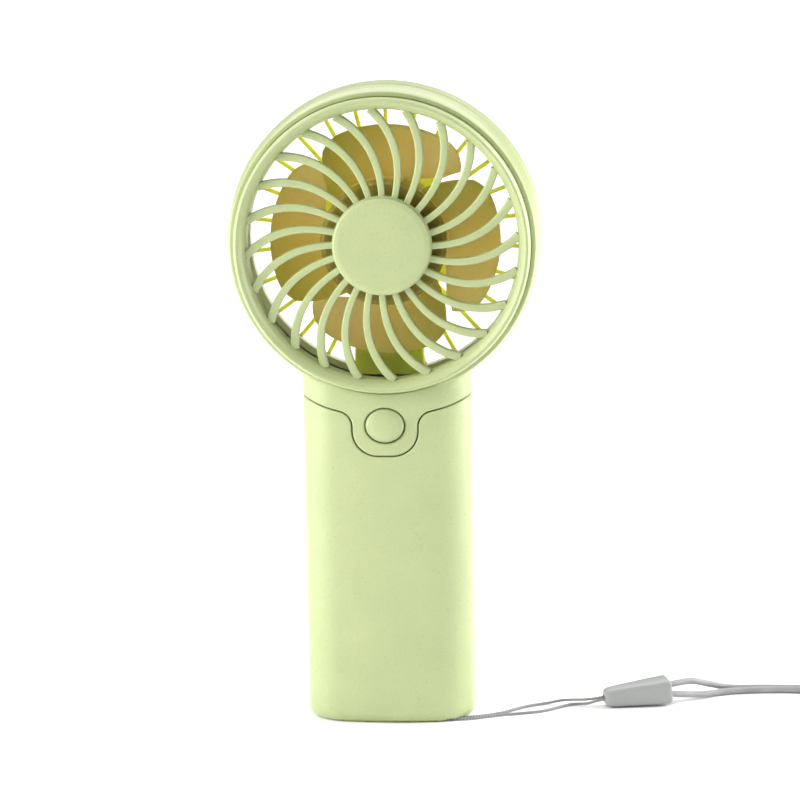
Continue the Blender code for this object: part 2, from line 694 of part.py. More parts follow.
def make_wires(red, black):
    """Motor wires run down the strut's channel into the neck, battery leads up to the board."""
    for name, side, paint in (("motor_wire_red", -1, red), ("motor_wire_black", 1, black)):
        x = side * 1.5
        cord(name, [(x, 8.9, HEAD_Z - 12.7), (x, 8.9, 120.0), (x, 8.9, 110.0), (x, 8.9, 102.0),
                    (x, 8.6, 98.6), (x, 6.4, 95.6), (x, 2.5, 94.2), (x, -1.0, 94.0),
                    (x, -3.6, 94.0)], 0.5, paint, 2.0)
    for name, side, paint in (("battery_lead_red", 1, red), ("battery_lead_black", -1, black)):
        x = side * CELL_X
        cord(name, [(x, CELL_Y, 74.1), (x, CELL_Y - 1.2, 75.2), (x - side * 0.6, CELL_Y - 2.0, 77.5),
                    (x - side, -3.7, 80.0)], 0.45, paint, 1.2)


# ---------------------------------------------------------------- strap

def make_thin_cord(paint):
    """One cord from the bead, round the eyelet bar and back. Its strands cross near the bead."""
    bar_x, bar_z = EYELET_X, EYELET_BAR_Z
    points = [(62.9, 6.95, 2.9), (60.6, 7.2, 2.4), (57.6, 7.7, 1.9), (53.7, 7.9, 1.75),
              (50.2, 8.9, 1.2), (46.7, 8.5, 0.6), (42.0, 6.2, 0.5), (38.1, 3.2, 0.5),
              (33.0, -2.0, 0.5), (28.3, -4.9, 0.5), (23.5, -6.8, 0.5), (20.6, -7.5, 0.5),
              (bar_x + 2.0, -7.65, 1.1), (bar_x + 1.3, -7.7, bar_z + 0.8),
              (bar_x, -7.9, bar_z + 1.55), (bar_x - 1.2, -8.1, bar_z + 1.0),
              (bar_x - 1.6, -8.3, bar_z), (bar_x - 1.2, -8.6, bar_z - 1.05), (bar_x, -8.8, 0.5),
              (20.2, -8.9, 0.5), (24.0, -8.2, 0.5), (28.3, -6.3, 0.5), (33.0, -4.2, 0.5),
              (38.4, -2.6, 0.5), (45.2, 0.2, 0.5), (50.0, 4.4, 0.5), (53.2, 7.2, 0.5),
              (55.6, 7.9, 0.5), (58.2, 7.2, 0.8), (60.8, 6.2, 1.8), (63.1, 5.8, 2.5)]
    cord("strap_thin_cord", points, THIN_CORD_R, paint, 2.2)


def make_wrist_cord(paint):
    """The wrist loop: out of the bead, along the surface, round and back into the bead."""
    points = [(83.65, 10.2, 3.2), (87.5, 12.4, 2.4), (93.0, 16.0, 1.4), (101.0, 20.6, 1.05),
              (112.0, 22.6, 1.05), (124.0, 22.4, 1.05), (134.0, 18.0, 1.05), (145.0, 9.0, 1.05),
              (158.0, 3.2, 1.05), (171.0, 5.0, 1.05), (180.0, 14.0, 1.05), (181.6, 25.6, 1.05),
              (175.6, 35.8, 1.05), (164.0, 40.6, 1.05), (151.0, 38.6, 1.05), (140.0, 32.0, 1.05),
              (132.0, 27.6, 1.05), (124.0, 25.1, 1.05), (112.0, 25.0, 1.05), (102.0, 24.0, 1.3),
              (95.0, 20.6, 3.4), (89.5, 16.8, 5.3), (83.2, 12.6, 5.4)]
    cord("wrist_cord", points, WRIST_CORD_R, paint, 4.6)


def make_bead(paint):
    """The moulded bead between the two cords: a block that tapers to its nose, edges rounded."""
    nose, tail = Vector(BEAD_NOSE), Vector(BEAD_TAIL)
    length = (tail - nose).length
    bm = bmesh.new()
    bmesh.ops.create_cube(bm, size=1.0)
    for vert in bm.verts:
        depth, height = (5.2, 5.0) if vert.co.x < 0 else (9.6, 7.6)
        vert.co = Vector((vert.co.x * length, vert.co.y * depth, vert.co.z * height)) * MM
    bmesh.ops.bevel(bm, geom=bm.edges[:], offset=1.5 * MM, segments=3, profile=0.5, affect="EDGES")
    mesh = bpy.data.meshes.new("strap_bead")
    bm.to_mesh(mesh)
    bm.free()
    made = add_object("strap_bead", mesh, paint)
    made.location = (nose + tail) / 2 * MM
    made.rotation_mode = "QUATERNION"
    made.rotation_quaternion = (tail - nose).to_track_quat("X", "Z")


# ---------------------------------------------------------------- build

def main():
    clear_scene()
    green = material("green_plastic", (0.62, 0.68, 0.36), 0.42)
    clear_green = material("thin_green_plastic", (0.60, 0.66, 0.20), 0.42)
    tan = material("impeller_plastic", (0.50, 0.36, 0.12), 0.45)
    steel = material("steel", (0.62, 0.62, 0.64), 0.3, 1.0)
    brass = material("brass", (0.65, 0.50, 0.22), 0.35, 1.0)
    copper = material("copper_winding", (0.60, 0.28, 0.12), 0.4, 1.0)
    magnet = material("magnet", (0.08, 0.08, 0.09), 0.6)
    black = material("black_plastic", (0.03, 0.03, 0.03), 0.5)
    white = material("white_plastic", (0.80, 0.80, 0.78), 0.5)
    red_wire = material("red_insulation", (0.60, 0.04, 0.03), 0.5)
    black_wire = material("black_insulation", (0.03, 0.03, 0.03), 0.5)
    cell = material("cell_wrap", (0.10, 0.25, 0.45), 0.45)
    board = material("board", (0.05, 0.22, 0.10), 0.5)
    lens = material("led_lens", (0.75, 0.78, 0.75), 0.25)
    silver_cord = material("silver_cord", (0.55, 0.56, 0.57), 0.7)
    grey = material("grey_plastic", (0.48, 0.50, 0.51), 0.4)

    make_front_grille(green)
    make_grille_cap(green)
    make_front_shell(green)
    make_rear_shell(green)
    make_rear_grille(clear_green)
    make_rear_covers(clear_green)
    make_impeller(tan)
    make_motor(steel, magnet, copper, white, brass)
    make_screws(steel)
    make_sleeve(green)
    make_battery_tray(white)
    make_cells(cell)
    make_board(board, black, steel, lens, white)
    make_button(green)
    make_wires(red_wire, black_wire)
    make_thin_cord(silver_cord)
    make_wrist_cord(silver_cord)
    make_bead(grey)


main()
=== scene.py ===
"""Looks of a handheld fan with a wrist strap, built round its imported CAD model.

The helpers take millimetres, and MM turns them into Blender's metres. In the head, "front" is the
distance in front of the mid-plane, which is -Y, and outlines are (x, z) or (radius, front) points.
"""
import math

import bmesh
import bpy
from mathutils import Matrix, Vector
from mathutils.geometry import delaunay_2d_cdt


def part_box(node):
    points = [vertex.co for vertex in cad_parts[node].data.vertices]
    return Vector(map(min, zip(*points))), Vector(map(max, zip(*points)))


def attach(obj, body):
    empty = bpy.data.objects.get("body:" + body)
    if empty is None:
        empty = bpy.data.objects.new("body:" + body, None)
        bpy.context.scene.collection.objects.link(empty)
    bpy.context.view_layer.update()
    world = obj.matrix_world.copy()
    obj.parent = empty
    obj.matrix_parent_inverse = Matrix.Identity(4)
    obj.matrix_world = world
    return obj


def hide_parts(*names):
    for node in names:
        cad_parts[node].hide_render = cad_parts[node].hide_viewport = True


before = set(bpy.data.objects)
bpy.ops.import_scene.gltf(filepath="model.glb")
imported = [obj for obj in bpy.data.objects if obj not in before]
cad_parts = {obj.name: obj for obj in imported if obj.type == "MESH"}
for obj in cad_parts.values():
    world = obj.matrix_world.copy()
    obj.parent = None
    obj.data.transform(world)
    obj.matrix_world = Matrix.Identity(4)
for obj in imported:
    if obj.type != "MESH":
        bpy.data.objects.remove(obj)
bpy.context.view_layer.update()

MM = 0.001


def box_mm(*nodes):
    """Lowest and highest corner of some CAD nodes together, in millimetres."""
    corners = [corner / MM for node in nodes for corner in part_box(node)]
    return (Vector(map(min, *corners)), Vector(map(max, *corners)))


# ---------------------------------------- sizes, in millimetres

GRILLE_LOW, GRILLE_HIGH = box_mm("front_grille")
SHELL_LOW, SHELL_HIGH = box_mm("front_shell", "rear_shell")
SLEEVE_LOW, SLEEVE_HIGH = box_mm("handle_sleeve")
BLADES_LOW, BLADES_HIGH = box_mm("impeller")
BUTTON_LOW, BUTTON_HIGH = box_mm("power_button")
CAP_LOW, CAP_HIGH = box_mm("grille_cap")
PORT_LOW, PORT_HIGH = box_mm("usb_port")
LED_LOW, LED_HIGH = box_mm("charge_led")

HEAD_Z = (GRILLE_LOW.z + GRILLE_HIGH.z) / 2
HEAD_R = (SHELL_HIGH.x - SHELL_LOW.x) / 2
DRUM_BORE_R = 43.6
DRUM_BACK = -SHELL_HIGH.y
RING_R = (GRILLE_HIGH.x - GRILLE_LOW.x) / 2
RING_FRONT = -GRILLE_LOW.y
RING_BACK = -GRILLE_HIGH.y
CAP_R = (CAP_HIGH.x - CAP_LOW.x) / 2
CAP_FRONT = -CAP_LOW.y
BLADE_COUNT = 4
BLADE_TIP_R = (BLADES_HIGH.x - BLADES_LOW.x) / 2
IMPELLER_HUB_R = 18.5
SHAFT_BORE_R = 1.3
REAR_HUB_R = 21.0
CUP_R = 17.3
CUP_BORE_R = 15.8
STRUT_HALF_WIDTH = 10.4
CHANNEL_HALF_WIDTH = 3.5

HALF_WIDTH = (SLEEVE_HIGH.x - SLEEVE_LOW.x) / 2
HALF_DEPTH = (SLEEVE_HIGH.y - SLEEVE_LOW.y) / 2
CORNER_R = 9.5
CROWN = 3.4                 # how far the front falls back from its middle line to its sides
BASE_FILLET = 3.5
WALL = 2.0
SLEEVE_FLOOR = 7.0
SEAM_R = 66.0
SEAM_CENTRE_Z = 159.5
SEAM_GAP = 0.4
SPLIT_GAP = 0.3
LIP_R = 0.42                # rounding of the edges along a seam
LIP_STEPS = 5
NECK_TOP_R = DRUM_BORE_R + 0.15
NECK_SHY = 0.04             # keeps the neck's split edge off the plane of the drum's
NECK_STEPS = (0.8, 1.6)     # size of the skin's facets round the neck and up it
SLEEVE_STEPS = (1.0, 3.0)
TAB_HALF_WIDTH = 9.7
TAB_BOTTOM_Z = 81.6
TAB_CORNER_R = 7.5
TAB_FILLET_R = 4.6
BUTTON_Z = (BUTTON_LOW.z + BUTTON_HIGH.z) / 2
BUTTON_R = 5.7
BUTTON_SQUASH = 0.886
BUTTON_HOLE_R = BUTTON_R + 0.32
CASE_SCREW_X = 17.5
CASE_SCREW_Z = 100.5
EYELET_X = 17.0
EYELET_Y = -8.2
EYELET_BAR_Z = 2.0

TURN_STEPS = 192            # facets round the drum and the ring
FINE_STEPS = 96             # facets round the hub, the cup and the button


# ---------------------------------------- camera, light and floor

VIEW_AZIMUTH = 4.48         # degrees to the right of straight ahead
VIEW_ELEVATION = 11.31
VIEW_ROLL = -0.9
VIEW_DISTANCE = 1018.8
VIEW_TARGET = (3.56, 0.0, 95.83)
VIEW_LENS = 154.85
SENSOR_WIDTH = 36.0
SKY_STRENGTH = 0.16
FAN_MIDDLE = (0.0, 0.0, 0.1)    # metres
FLOOR_HALF = 8.0            # metres


def make_camera():
    """The view, from its angles, distance, target and lens."""
    data = bpy.data.cameras.new("camera")
    data.sensor_width = SENSOR_WIDTH
    data.lens = VIEW_LENS
    camera = bpy.data.objects.new("camera", data)
    bpy.context.scene.collection.objects.link(camera)
    azimuth, elevation = math.radians(VIEW_AZIMUTH), math.radians(VIEW_ELEVATION)
    back = Vector((math.sin(azimuth) * math.cos(elevation),
                   -math.cos(azimuth) * math.cos(elevation), math.sin(elevation)))
    camera.location = (Vector(VIEW_TARGET) + back * VIEW_DISTANCE) * MM
    camera.rotation_euler = (-back).to_track_quat("-Z", "Y").to_euler()
    camera.rotation_euler.rotate_axis("Z", math.radians(VIEW_ROLL))
    bpy.context.scene.camera = camera


def area_light(name, place, target, width, height, power):
    """A rectangular light, in metres and watts, turned to face its target."""
    data = bpy.data.lights.new(name, "AREA")
    data.shape = "RECTANGLE"
    data.size = width
    data.size_y = height
    data.energy = power
    light = bpy.data.objects.new(name, data)
    bpy.context.scene.collection.objects.link(light)
    light.location = place
    aim = Vector(target) - Vector(place)
    light.rotation_euler = aim.to_track_quat("-Z", "Y").to_euler()


def make_lights():
    world = bpy.data.worlds.new("studio")
    world.use_nodes = True
    sky = world.node_tree.nodes["Background"]
    sky.inputs["Color"].default_value = (1.0, 1.0, 1.0, 1.0)
    sky.inputs["Strength"].default_value = SKY_STRENGTH
    bpy.context.scene.world = world
    area_light("left_softbox", (-0.80, -0.34, 0.35), FAN_MIDDLE, 0.7, 0.9, 13.0)
    area_light("right_softbox", (0.90, 0.14, 0.35), FAN_MIDDLE, 0.8, 0.9, 17.0)
    area_light("front_softbox", (-0.1, -0.75, 1.15), FAN_MIDDLE, 0.7, 0.5, 5.0)
    area_light("backdrop_light", (0.0, 2.6, 1.9), (0.0, 2.7, 0.0), 5.0, 3.6, 140.0)
    bpy.context.scene.view_settings.view_transform = "Standard"


def make_floor(paint):
    bm = bmesh.new()
    bmesh.ops.create_grid(bm, x_segments=2, y_segments=2, size=FLOOR_HALF)
    mesh = bpy.data.meshes.new("floor")
    bm.to_mesh(mesh)
    bm.free()
    mesh.materials.append(paint)
    floor = bpy.data.objects.new("floor", mesh)
    bpy.context.scene.collection.objects.link(floor)


# ---------------------------------------- materials

def painted(name):
    """A new material and its Principled shader."""
    paint = bpy.data.materials.new(name)
    paint.use_nodes = True
    return paint, paint.node_tree.nodes["Principled BSDF"]


def link(paint, start, end):
    paint.node_tree.links.new(start, end)


def places(paint):
    """The object's own coordinates, from one node that the material shares."""
    nodes = paint.node_tree.nodes
    node = nodes.get("places") or nodes.new("ShaderNodeTexCoord")
    node.name = "places"
    return node.outputs["Object"]


def noise(paint, scale, detail):
    """Noise with scale in bumps a metre."""
    texture = paint.node_tree.nodes.new("ShaderNodeTexNoise")
    texture.inputs["Scale"].default_value = scale
    texture.inputs["Detail"].default_value = detail
    link(paint, places(paint), texture.inputs["Vector"])
    return texture.outputs["Fac"]


def attribute(paint, name):
    """A number that the mesh holds at each of its points."""
    node = paint.node_tree.nodes.new("ShaderNodeAttribute")
    node.attribute_name = name
    return node.outputs["Fac"]


def multiply(paint, first, second):
    """Two colours multiplied."""
    node = paint.node_tree.nodes.new("ShaderNodeMix")
    node.data_type = "RGBA"
    node.blend_type = "MULTIPLY"
    node.inputs["Factor"].default_value = 1.0
    link(paint, first, node.inputs["A"])
    link(paint, second, node.inputs["B"])
    return node.outputs["Result"]


def ramp(paint, source, *stops):
    """Colours at stops (position, colour) along a source from 0 to 1."""
    node = paint.node_tree.nodes.new("ShaderNodeValToRGB")
    elements = node.color_ramp.elements
    while len(elements) < len(stops):
        elements.new(0.5)
    for element, (position, colour) in zip(elements, stops):
        element.position = position
        element.color = (*colour, 1.0)
    link(paint, source, node.inputs["Fac"])
    return node.outputs["Color"]


def spread(paint, source, low, high):
    """A number between low and high that follows a source from 0.3 to 0.7."""
    node = paint.node_tree.nodes.new("ShaderNodeMapRange")
    node.inputs["From Min"].default_value = 0.3
    node.inputs["From Max"].default_value = 0.7
    node.inputs["To Min"].default_value = low
    node.inputs["To Max"].default_value = high
    link(paint, source, node.inputs["Value"])
    return node.outputs["Result"]


def bump(paint, height, distance, strength, under=None):
    """A normal that leans with a height, over another normal if one is given."""
    node = paint.node_tree.nodes.new("ShaderNodeBump")
    node.inputs["Distance"].default_value = distance
    node.inputs["Strength"].default_value = strength
    link(paint, height, node.inputs["Height"])
    if under is not None:
        link(paint, under, node.inputs["Normal"])
    return node.outputs["Normal"]


def dress(paint, shader, colour, roughness, normal):
    """Join a colour, a roughness and a normal to a shader."""
    for end, source in (("Base Color", colour), ("Roughness", roughness), ("Normal", normal)):
        link(paint, source, shader.inputs[end])


def shade(colour, factor):
    """A colour made lighter or darker."""
    return tuple(min(1.0, c * factor) for c in colour)


def plastic(name, colour, roughness, grain=0.2, soft=0.0):
    """Satin moulded plastic: a fine spark-eroded grain, slow flow marks and faint mottling."""
    paint, shader = painted(name)
    mottle = noise(paint, 70.0, 3.0)
    speckle = noise(paint, 1500.0, 2.0)
    flow = noise(paint, 160.0, 1.0)
    pale = ramp(paint, mottle, (0.3, shade(colour, 0.965)), (0.7, shade(colour, 1.03)))
    fleck = ramp(paint, speckle, (0.3, (0.96, 0.96, 0.96)), (0.55, (1.0, 1.0, 1.0)))
    waves = bump(paint, flow, 0.00012, 0.25)
    fine = bump(paint, noise(paint, 3800.0, 2.0), 0.00003, grain, waves)
    dress(paint, shader, multiply(paint, pale, fleck),
          spread(paint, speckle, roughness - 0.05, roughness + 0.06), fine)
    if soft:
        shader.inputs["Subsurface Weight"].default_value = soft
        shader.inputs["Subsurface Radius"].default_value = (1.0, 1.0, 0.45)
        shader.inputs["Subsurface Scale"].default_value = 0.003
    return paint


def metal(name, colour, roughness, brushed=900.0):
    """Plated or drawn metal with fine lines and uneven polish."""
    paint, shader = painted(name)
    lines = noise(paint, brushed, 4.0)
    cloud = noise(paint, 120.0, 2.0)
    dress(paint, shader, ramp(paint, cloud, (0.3, shade(colour, 0.86)), (0.7, colour)),
          spread(paint, lines, roughness - 0.08, roughness + 0.1),
          bump(paint, lines, 0.00003, 0.3))
    shader.inputs["Metallic"].default_value = 1.0
    return paint


def blade_plastic():
    """Tan plastic with painted light and shade: a pale painted highlight at a blade's narrow tip,
    painted shade growing towards its wide end, and the darkest painted shade on the hub.
    """
    paint = plastic("blade_plastic", BLADE_TAN, 0.42, 0.2, 0.7)
    shader = paint.node_tree.nodes["Principled BSDF"]
    # the depth attribute picks painted light and shade: a painted highlight at 0, painted shade
    # above it
    painted_shade = ramp(paint, attribute(paint, "depth"), (0.0, (1.0, 1.0, 2.2)),
                (0.35, (0.88, 0.84, 1.0)), (0.75, (0.60, 0.64, 0.36)), (1.0, (0.42, 0.42, 0.24)))
    below = shader.inputs["Base Color"].links[0].from_socket
    link(paint, multiply(paint, below, painted_shade), shader.inputs["Base Color"])
    return paint


def braid_cloth(name, light, dark):
    """Silver braid: bright strands with dark valleys, from the tube's own strand height."""
    paint, shader = painted(name)
    fibre = noise(paint, 5200.0, 3.0)
    cloud = noise(paint, 300.0, 2.0)
    tone = ramp(paint, attribute(paint, "strand"), (0.12, dark), (0.42, shade(light, 0.72)),
                (0.8, light))
    streak = ramp(paint, fibre, (0.35, (0.72, 0.72, 0.73)), (0.62, (1.0, 1.0, 1.0)))
    patch = ramp(paint, cloud, (0.35, (0.86, 0.86, 0.87)), (0.6, (1.0, 1.0, 1.0)))
    tone = multiply(paint, multiply(paint, tone, streak), patch)
    dress(paint, shader, tone, spread(paint, fibre, 0.42, 0.6),
          bump(paint, fibre, 0.00006, 0.6))
    shader.inputs["Sheen Weight"].default_value = 0.25
    shader.inputs["Sheen Roughness"].default_value = 0.4
    return paint


def wrap_film(name, colour):
    """The glossy plastic film shrunk round a battery cell."""
    paint = plastic(name, colour, 0.3, 0.1)
    shader = paint.node_tree.nodes["Principled BSDF"]
    shader.inputs["Coat Weight"].default_value = 0.4
    shader.inputs["Coat Roughness"].default_value = 0.15
    return paint


def windings(name, colour):
    """Enamelled copper wire laid in close turns."""
    paint, shader = painted(name)
    turns = paint.node_tree.nodes.new("ShaderNodeTexWave")
    turns.inputs["Scale"].default_value = 900.0
    turns.inputs["Distortion"].default_value = 1.5
    link(paint, places(paint), turns.inputs["Vector"])
    height = turns.outputs["Fac"]
    dress(paint, shader, ramp(paint, height, (0.2, shade(colour, 0.45)), (0.8, colour)),
          spread(paint, height, 0.25, 0.45), bump(paint, height, 0.0001, 0.6))
    shader.inputs["Metallic"].default_value = 0.8
    return paint


def floor_paint():
    """Matt off-white paper."""
    paint, shader = painted("floor_paint")
    tone = ramp(paint, noise(paint, 2.0, 2.0), (0.3, (0.955, 0.955, 0.955)),
                (0.7, (0.965, 0.965, 0.965)))
    link(paint, tone, shader.inputs["Base Color"])
    shader.inputs["Roughness"].default_value = 0.9
    return paint


BODY_GREEN = (0.415, 0.475, 0.235)
# the rear grille's own yellow-green, raised with painted light that stands in for light shining
# through its thin plastic
REAR_GREEN_PAINTED_GLOW = (0.880, 0.930, 0.200)
# pale painted light on the rear ring and the motor cup, standing in for strong light falling on
# their walls and its reflection
PALE_PAINTED_LIGHT = (0.70, 0.72, 0.60)
BLADE_TAN = (0.95, 0.75, 0.185)
BEAD_GREY = (0.300, 0.310, 0.305)
CORD_LIGHT = (0.42, 0.42, 0.43)
CORD_DARK = (0.10, 0.10, 0.11)


# ---------------------------------------- mesh helpers

MERGE_DISTANCE = 0.0005
SHARP_ANGLE = 35.0          # degrees between two faces, above which their edge shows


def add_piece(name, bm, paint, sharp=SHARP_ANGLE):
    """An object from a bmesh in millimetres, with its sharp edges found by their angle."""
    bmesh.ops.remove_doubles(bm, verts=bm.verts, dist=MERGE_DISTANCE)
    bmesh.ops.recalc_face_normals(bm, faces=bm.faces)
    bmesh.ops.scale(bm, vec=(MM, MM, MM), verts=bm.verts)
    mesh = bpy.data.meshes.new(name)
    bm.to_mesh(mesh)
    bm.free()
    mesh.shade_smooth()
    mesh.set_sharp_from_angle(angle=math.radians(sharp))
    if paint is not None:
        mesh.materials.append(paint)
    piece = bpy.data.objects.new(name, mesh)
    bpy.context.scene.collection.objects.link(piece)
    return piece


def stands_for(piece, nodes, body):
    """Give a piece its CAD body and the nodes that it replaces."""
    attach(piece, body)
    if nodes:
        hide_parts(*nodes)


def combine(target, tool, operation, sharp=SHARP_ANGLE):
    """Apply a Boolean with a closed tool, which is used up."""
    step = target.modifiers.new("combine", "BOOLEAN")
    step.operation = operation
    step.solver = "MANIFOLD"
    step.object = tool
    graph = bpy.context.evaluated_depsgraph_get()
    mesh = bpy.data.meshes.new_from_object(target.evaluated_get(graph))
    target.modifiers.clear()
    old = target.data
    target.data = mesh
    bpy.data.meshes.remove(old)
    bpy.data.objects.remove(tool)
    mesh.shade_smooth()
    mesh.set_sharp_from_angle(angle=math.radians(sharp))


NEARLY_STRAIGHT = 1.55      # half the angle, in radians, at a corner too flat to round


def rounded(corners, steps=4):
    """Closed outline through corners (a, b, radius), each rounded to its radius."""
    outline = []
    for i, (a, b, radius) in enumerate(corners):
        here = Vector((a, b))
        back = (Vector(corners[i - 1][:2]) - here).normalized()
        onward = (Vector(corners[(i + 1) % len(corners)][:2]) - here).normalized()
        half = back.angle(onward) / 2
        if radius == 0.0 or half > NEARLY_STRAIGHT:
            outline.append((a, b))
            continue
        centre = here + (back + onward).normalized() * radius / math.sin(half)
        start = here + back * radius / math.tan(half) - centre
        turn = (math.pi - 2 * half) * (1 if back.cross(onward) < 0 else -1)
        for k in range(steps + 1):
            angle = turn * k / steps
            outline.append((centre.x + start.x * math.cos(angle) - start.y * math.sin(angle),
                            centre.y + start.x * math.sin(angle) + start.y * math.cos(angle)))
    return outline


def polar(radius, degrees):
    """The (x, z) point at an angle round the origin."""
    angle = math.radians(degrees)
    return (radius * math.cos(angle), radius * math.sin(angle))


ON_AXIS = 1e-6              # a radius below this is on the axis


def turned(name, corners, paint, steps=TURN_STEPS, centre=(0.0, HEAD_Z), squash=1.0, rounds=4):
    """A piece turned about the front-to-back axis at (x, z), from (radius, front, round) corners."""
    profile = rounded(corners, rounds)
    bm = bmesh.new()
    rings = []
    for k in range(steps):
        x, z = polar(1.0, 360.0 * k / steps)
        rings.append([bm.verts.new((centre[0] + r * x, -front, centre[1] + r * z * squash))
                      for r, front in profile])
    for ring, following in zip(rings, rings[1:] + rings[:1]):
        for i in range(len(profile)):
            j = (i + 1) % len(profile)
            if max(profile[i][0], profile[j][0]) > ON_AXIS:
                bm.faces.new((ring[i], ring[j], following[j], following[i]))
    return add_piece(name, bm, paint)


def bridge(bm, rows, closed=True):
    """Add quads between successive rows of as many verts, all the way round if closed."""
    for row, following in zip(rows, rows[1:]):
        for i in range(len(row) if closed else len(row) - 1):
            j = (i + 1) % len(row)
            bm.faces.new((row[i], row[j], following[j], following[i]))


def loft(bm, rings):
    """Add quads between successive rings of as many points, and cap both ends."""
    rows = [[bm.verts.new(point) for point in ring] for ring in rings]
    bridge(bm, rows)
    bm.faces.new(rows[0][::-1])
    bm.faces.new(rows[-1])


SPLINE_STEPS = 24           # points between two of a route's own, before they are spaced out


def smooth_route(points, spacing):
    """Points a given distance apart along a smooth curve through the route's own points."""
    ends = [Vector(p) for p in points]
    ends = [2 * ends[0] - ends[1]] + ends + [2 * ends[-1] - ends[-2]]
    fine = []
    for a, b, c, d in zip(ends, ends[1:], ends[2:], ends[3:]):
        for i in range(SPLINE_STEPS):
            t = i / SPLINE_STEPS
            fine.append(0.5 * (2 * b + (c - a) * t + (2 * a - 5 * b + 4 * c - d) * t ** 2
                               + (3 * b - 3 * c + d - a) * t ** 3))
    fine.append(ends[-2])
    length = sum((q - p).length for p, q in zip(fine, fine[1:]))
    count = max(2, round(length / spacing))
    route = [fine[0]]
    walked = 0.0
    for p, q in zip(fine, fine[1:]):
        step = (q - p).length
        while len(route) < count and walked + step >= len(route) * length / count:
            along = (len(route) * length / count - walked) / step
            route.append(p.lerp(q, along))
        walked += step
    route.append(fine[-1])
    return route, length


# ---------------------------------------- strap

THIN_CORD_R = 0.45
WRIST_CORD_R = 1.0
CORD_STEP = 0.22            # between rings of a cord's surface
THIN_ROUTE = [
    (64.9, 7.3, 3.05), (62.9, 6.95, 2.9), (60.6, 7.2, 2.4), (57.6, 7.7, 1.9), (53.7, 7.9, 1.75),
    (50.2, 8.9, 1.2), (46.7, 8.5, 0.6), (42.0, 6.2, 0.5), (38.1, 3.2, 0.5), (33.0, -2.0, 0.5),
    (28.3, -4.9, 0.5), (23.5, -6.8, 0.5), (20.6, -7.5, 0.5), (EYELET_X + 2.0, -7.65, 1.1),
    (EYELET_X + 1.3, -7.7, EYELET_BAR_Z + 0.8), (EYELET_X, -7.9, EYELET_BAR_Z + 1.55),
    (EYELET_X - 1.2, -8.1, EYELET_BAR_Z + 1.0), (EYELET_X - 1.6, -8.3, EYELET_BAR_Z),
    (EYELET_X - 1.2, -8.6, EYELET_BAR_Z - 1.05), (EYELET_X, -8.8, 0.5), (20.2, -8.9, 0.5),
    (24.0, -8.2, 0.5), (28.3, -6.3, 0.5), (33.0, -4.2, 0.5), (38.4, -2.6, 0.5), (45.2, 0.2, 0.5),
    (50.0, 4.4, 0.5), (53.2, 7.2, 0.5), (55.6, 7.9, 0.5), (58.2, 7.2, 0.8), (60.8, 6.2, 1.8),
    (63.1, 5.8, 2.5), (65.0, 6.2, 2.6)]
WRIST_ROUTE = [
    (81.6, 9.3, 3.3), (83.65, 10.2, 3.2), (87.5, 12.4, 2.4), (93.0, 16.0, 1.4),
    (101.0, 20.6, 1.05), (112.0, 22.6, 1.05), (124.0, 22.4, 1.05), (134.0, 18.0, 1.05),
    (145.0, 9.0, 1.05), (158.0, 3.2, 1.05), (171.0, 5.0, 1.05), (180.0, 14.0, 1.05),
    (181.6, 25.6, 1.05), (175.6, 35.8, 1.05), (164.0, 40.6, 1.05), (151.0, 38.6, 1.05),
    (140.0, 32.0, 1.05), (132.0, 27.6, 1.05), (124.0, 25.1, 1.05), (112.0, 25.0, 1.05),
    (102.0, 24.0, 1.3), (95.0, 20.6, 3.4), (89.5, 16.8, 5.3), (83.2, 12.6, 5.4),
    (81.2, 11.9, 5.2)]
BEAD_NOSE = Vector((63.4, 6.4, 2.8))
BEAD_TAIL = Vector((83.0, 11.2, 4.1))
BEAD_NOSE_SIZE = (5.3, 5.0)     # depth and height, before its edge is rounded
BEAD_GROWTH = (4.2, 2.7)        # how much wider and taller the tail is
BEAD_NOSE_ROUND = 1.25
BEAD_TAIL_ROUND = 0.7
BEAD_NOSE_PART = 0.08           # parts of its length over which the ends are rounded
BEAD_TAIL_PART = 0.05
BEAD_STATIONS = (0.0, 0.012, 0.035, 0.08, 0.14, 0.22, 0.35, 0.5, 0.65, 0.8, 0.9, 0.95, 0.975,
                 0.99, 1.0)


TWISTED_STRANDS = 2         # a cord of up to this many strands is twisted, not braided
STRAND_DEPTH = 0.16         # of the cord's radius, from a strand's crown to the valley beside it


def braided_tube(name, route, radius, strands, pitch, around, paint):
    """A tube whose surface rises and falls with its strands.

    Braid has two sets of them that wind opposite ways, and a twist has one. strands counts one
    set, pitch is the length of a strand's full turn, and the "strand" attribute holds the height
    from 0 in a valley to 1 on a crown.
    """
    bm = bmesh.new()
    height_layer = bm.verts.layers.float.new("strand")
    side = None
    walked = 0.0
    rings = []
    for i, here in enumerate(route):
        onward = (route[min(i + 1, len(route) - 1)] - route[max(i - 1, 0)]).normalized()
        side = onward.orthogonal() if side is None else side - onward * side.dot(onward)
        side.normalize()
        up = onward.cross(side)
        walked += (here - route[i - 1]).length if i else 0.0
        wind = 2 * math.pi * walked / pitch
        ring = []
        for k in range(around):
            angle = 2 * math.pi * k / around
            left = math.cos(strands * (angle + wind))
            right = math.cos(strands * (angle - wind))
            crown = 0.5 + 0.5 * (max(left, right) if strands > TWISTED_STRANDS else left)
            reach = radius * (1 - STRAND_DEPTH * (1 - crown))
            vert = bm.verts.new(here + (side * math.cos(angle) + up * math.sin(angle)) * reach)
            vert[height_layer] = crown
            ring.append(vert)
        rings.append(ring)
    bridge(bm, rings)
    bm.faces.new(rings[0][::-1])
    bm.faces.new(rings[-1])
    return add_piece(name, bm, paint, 80.0)


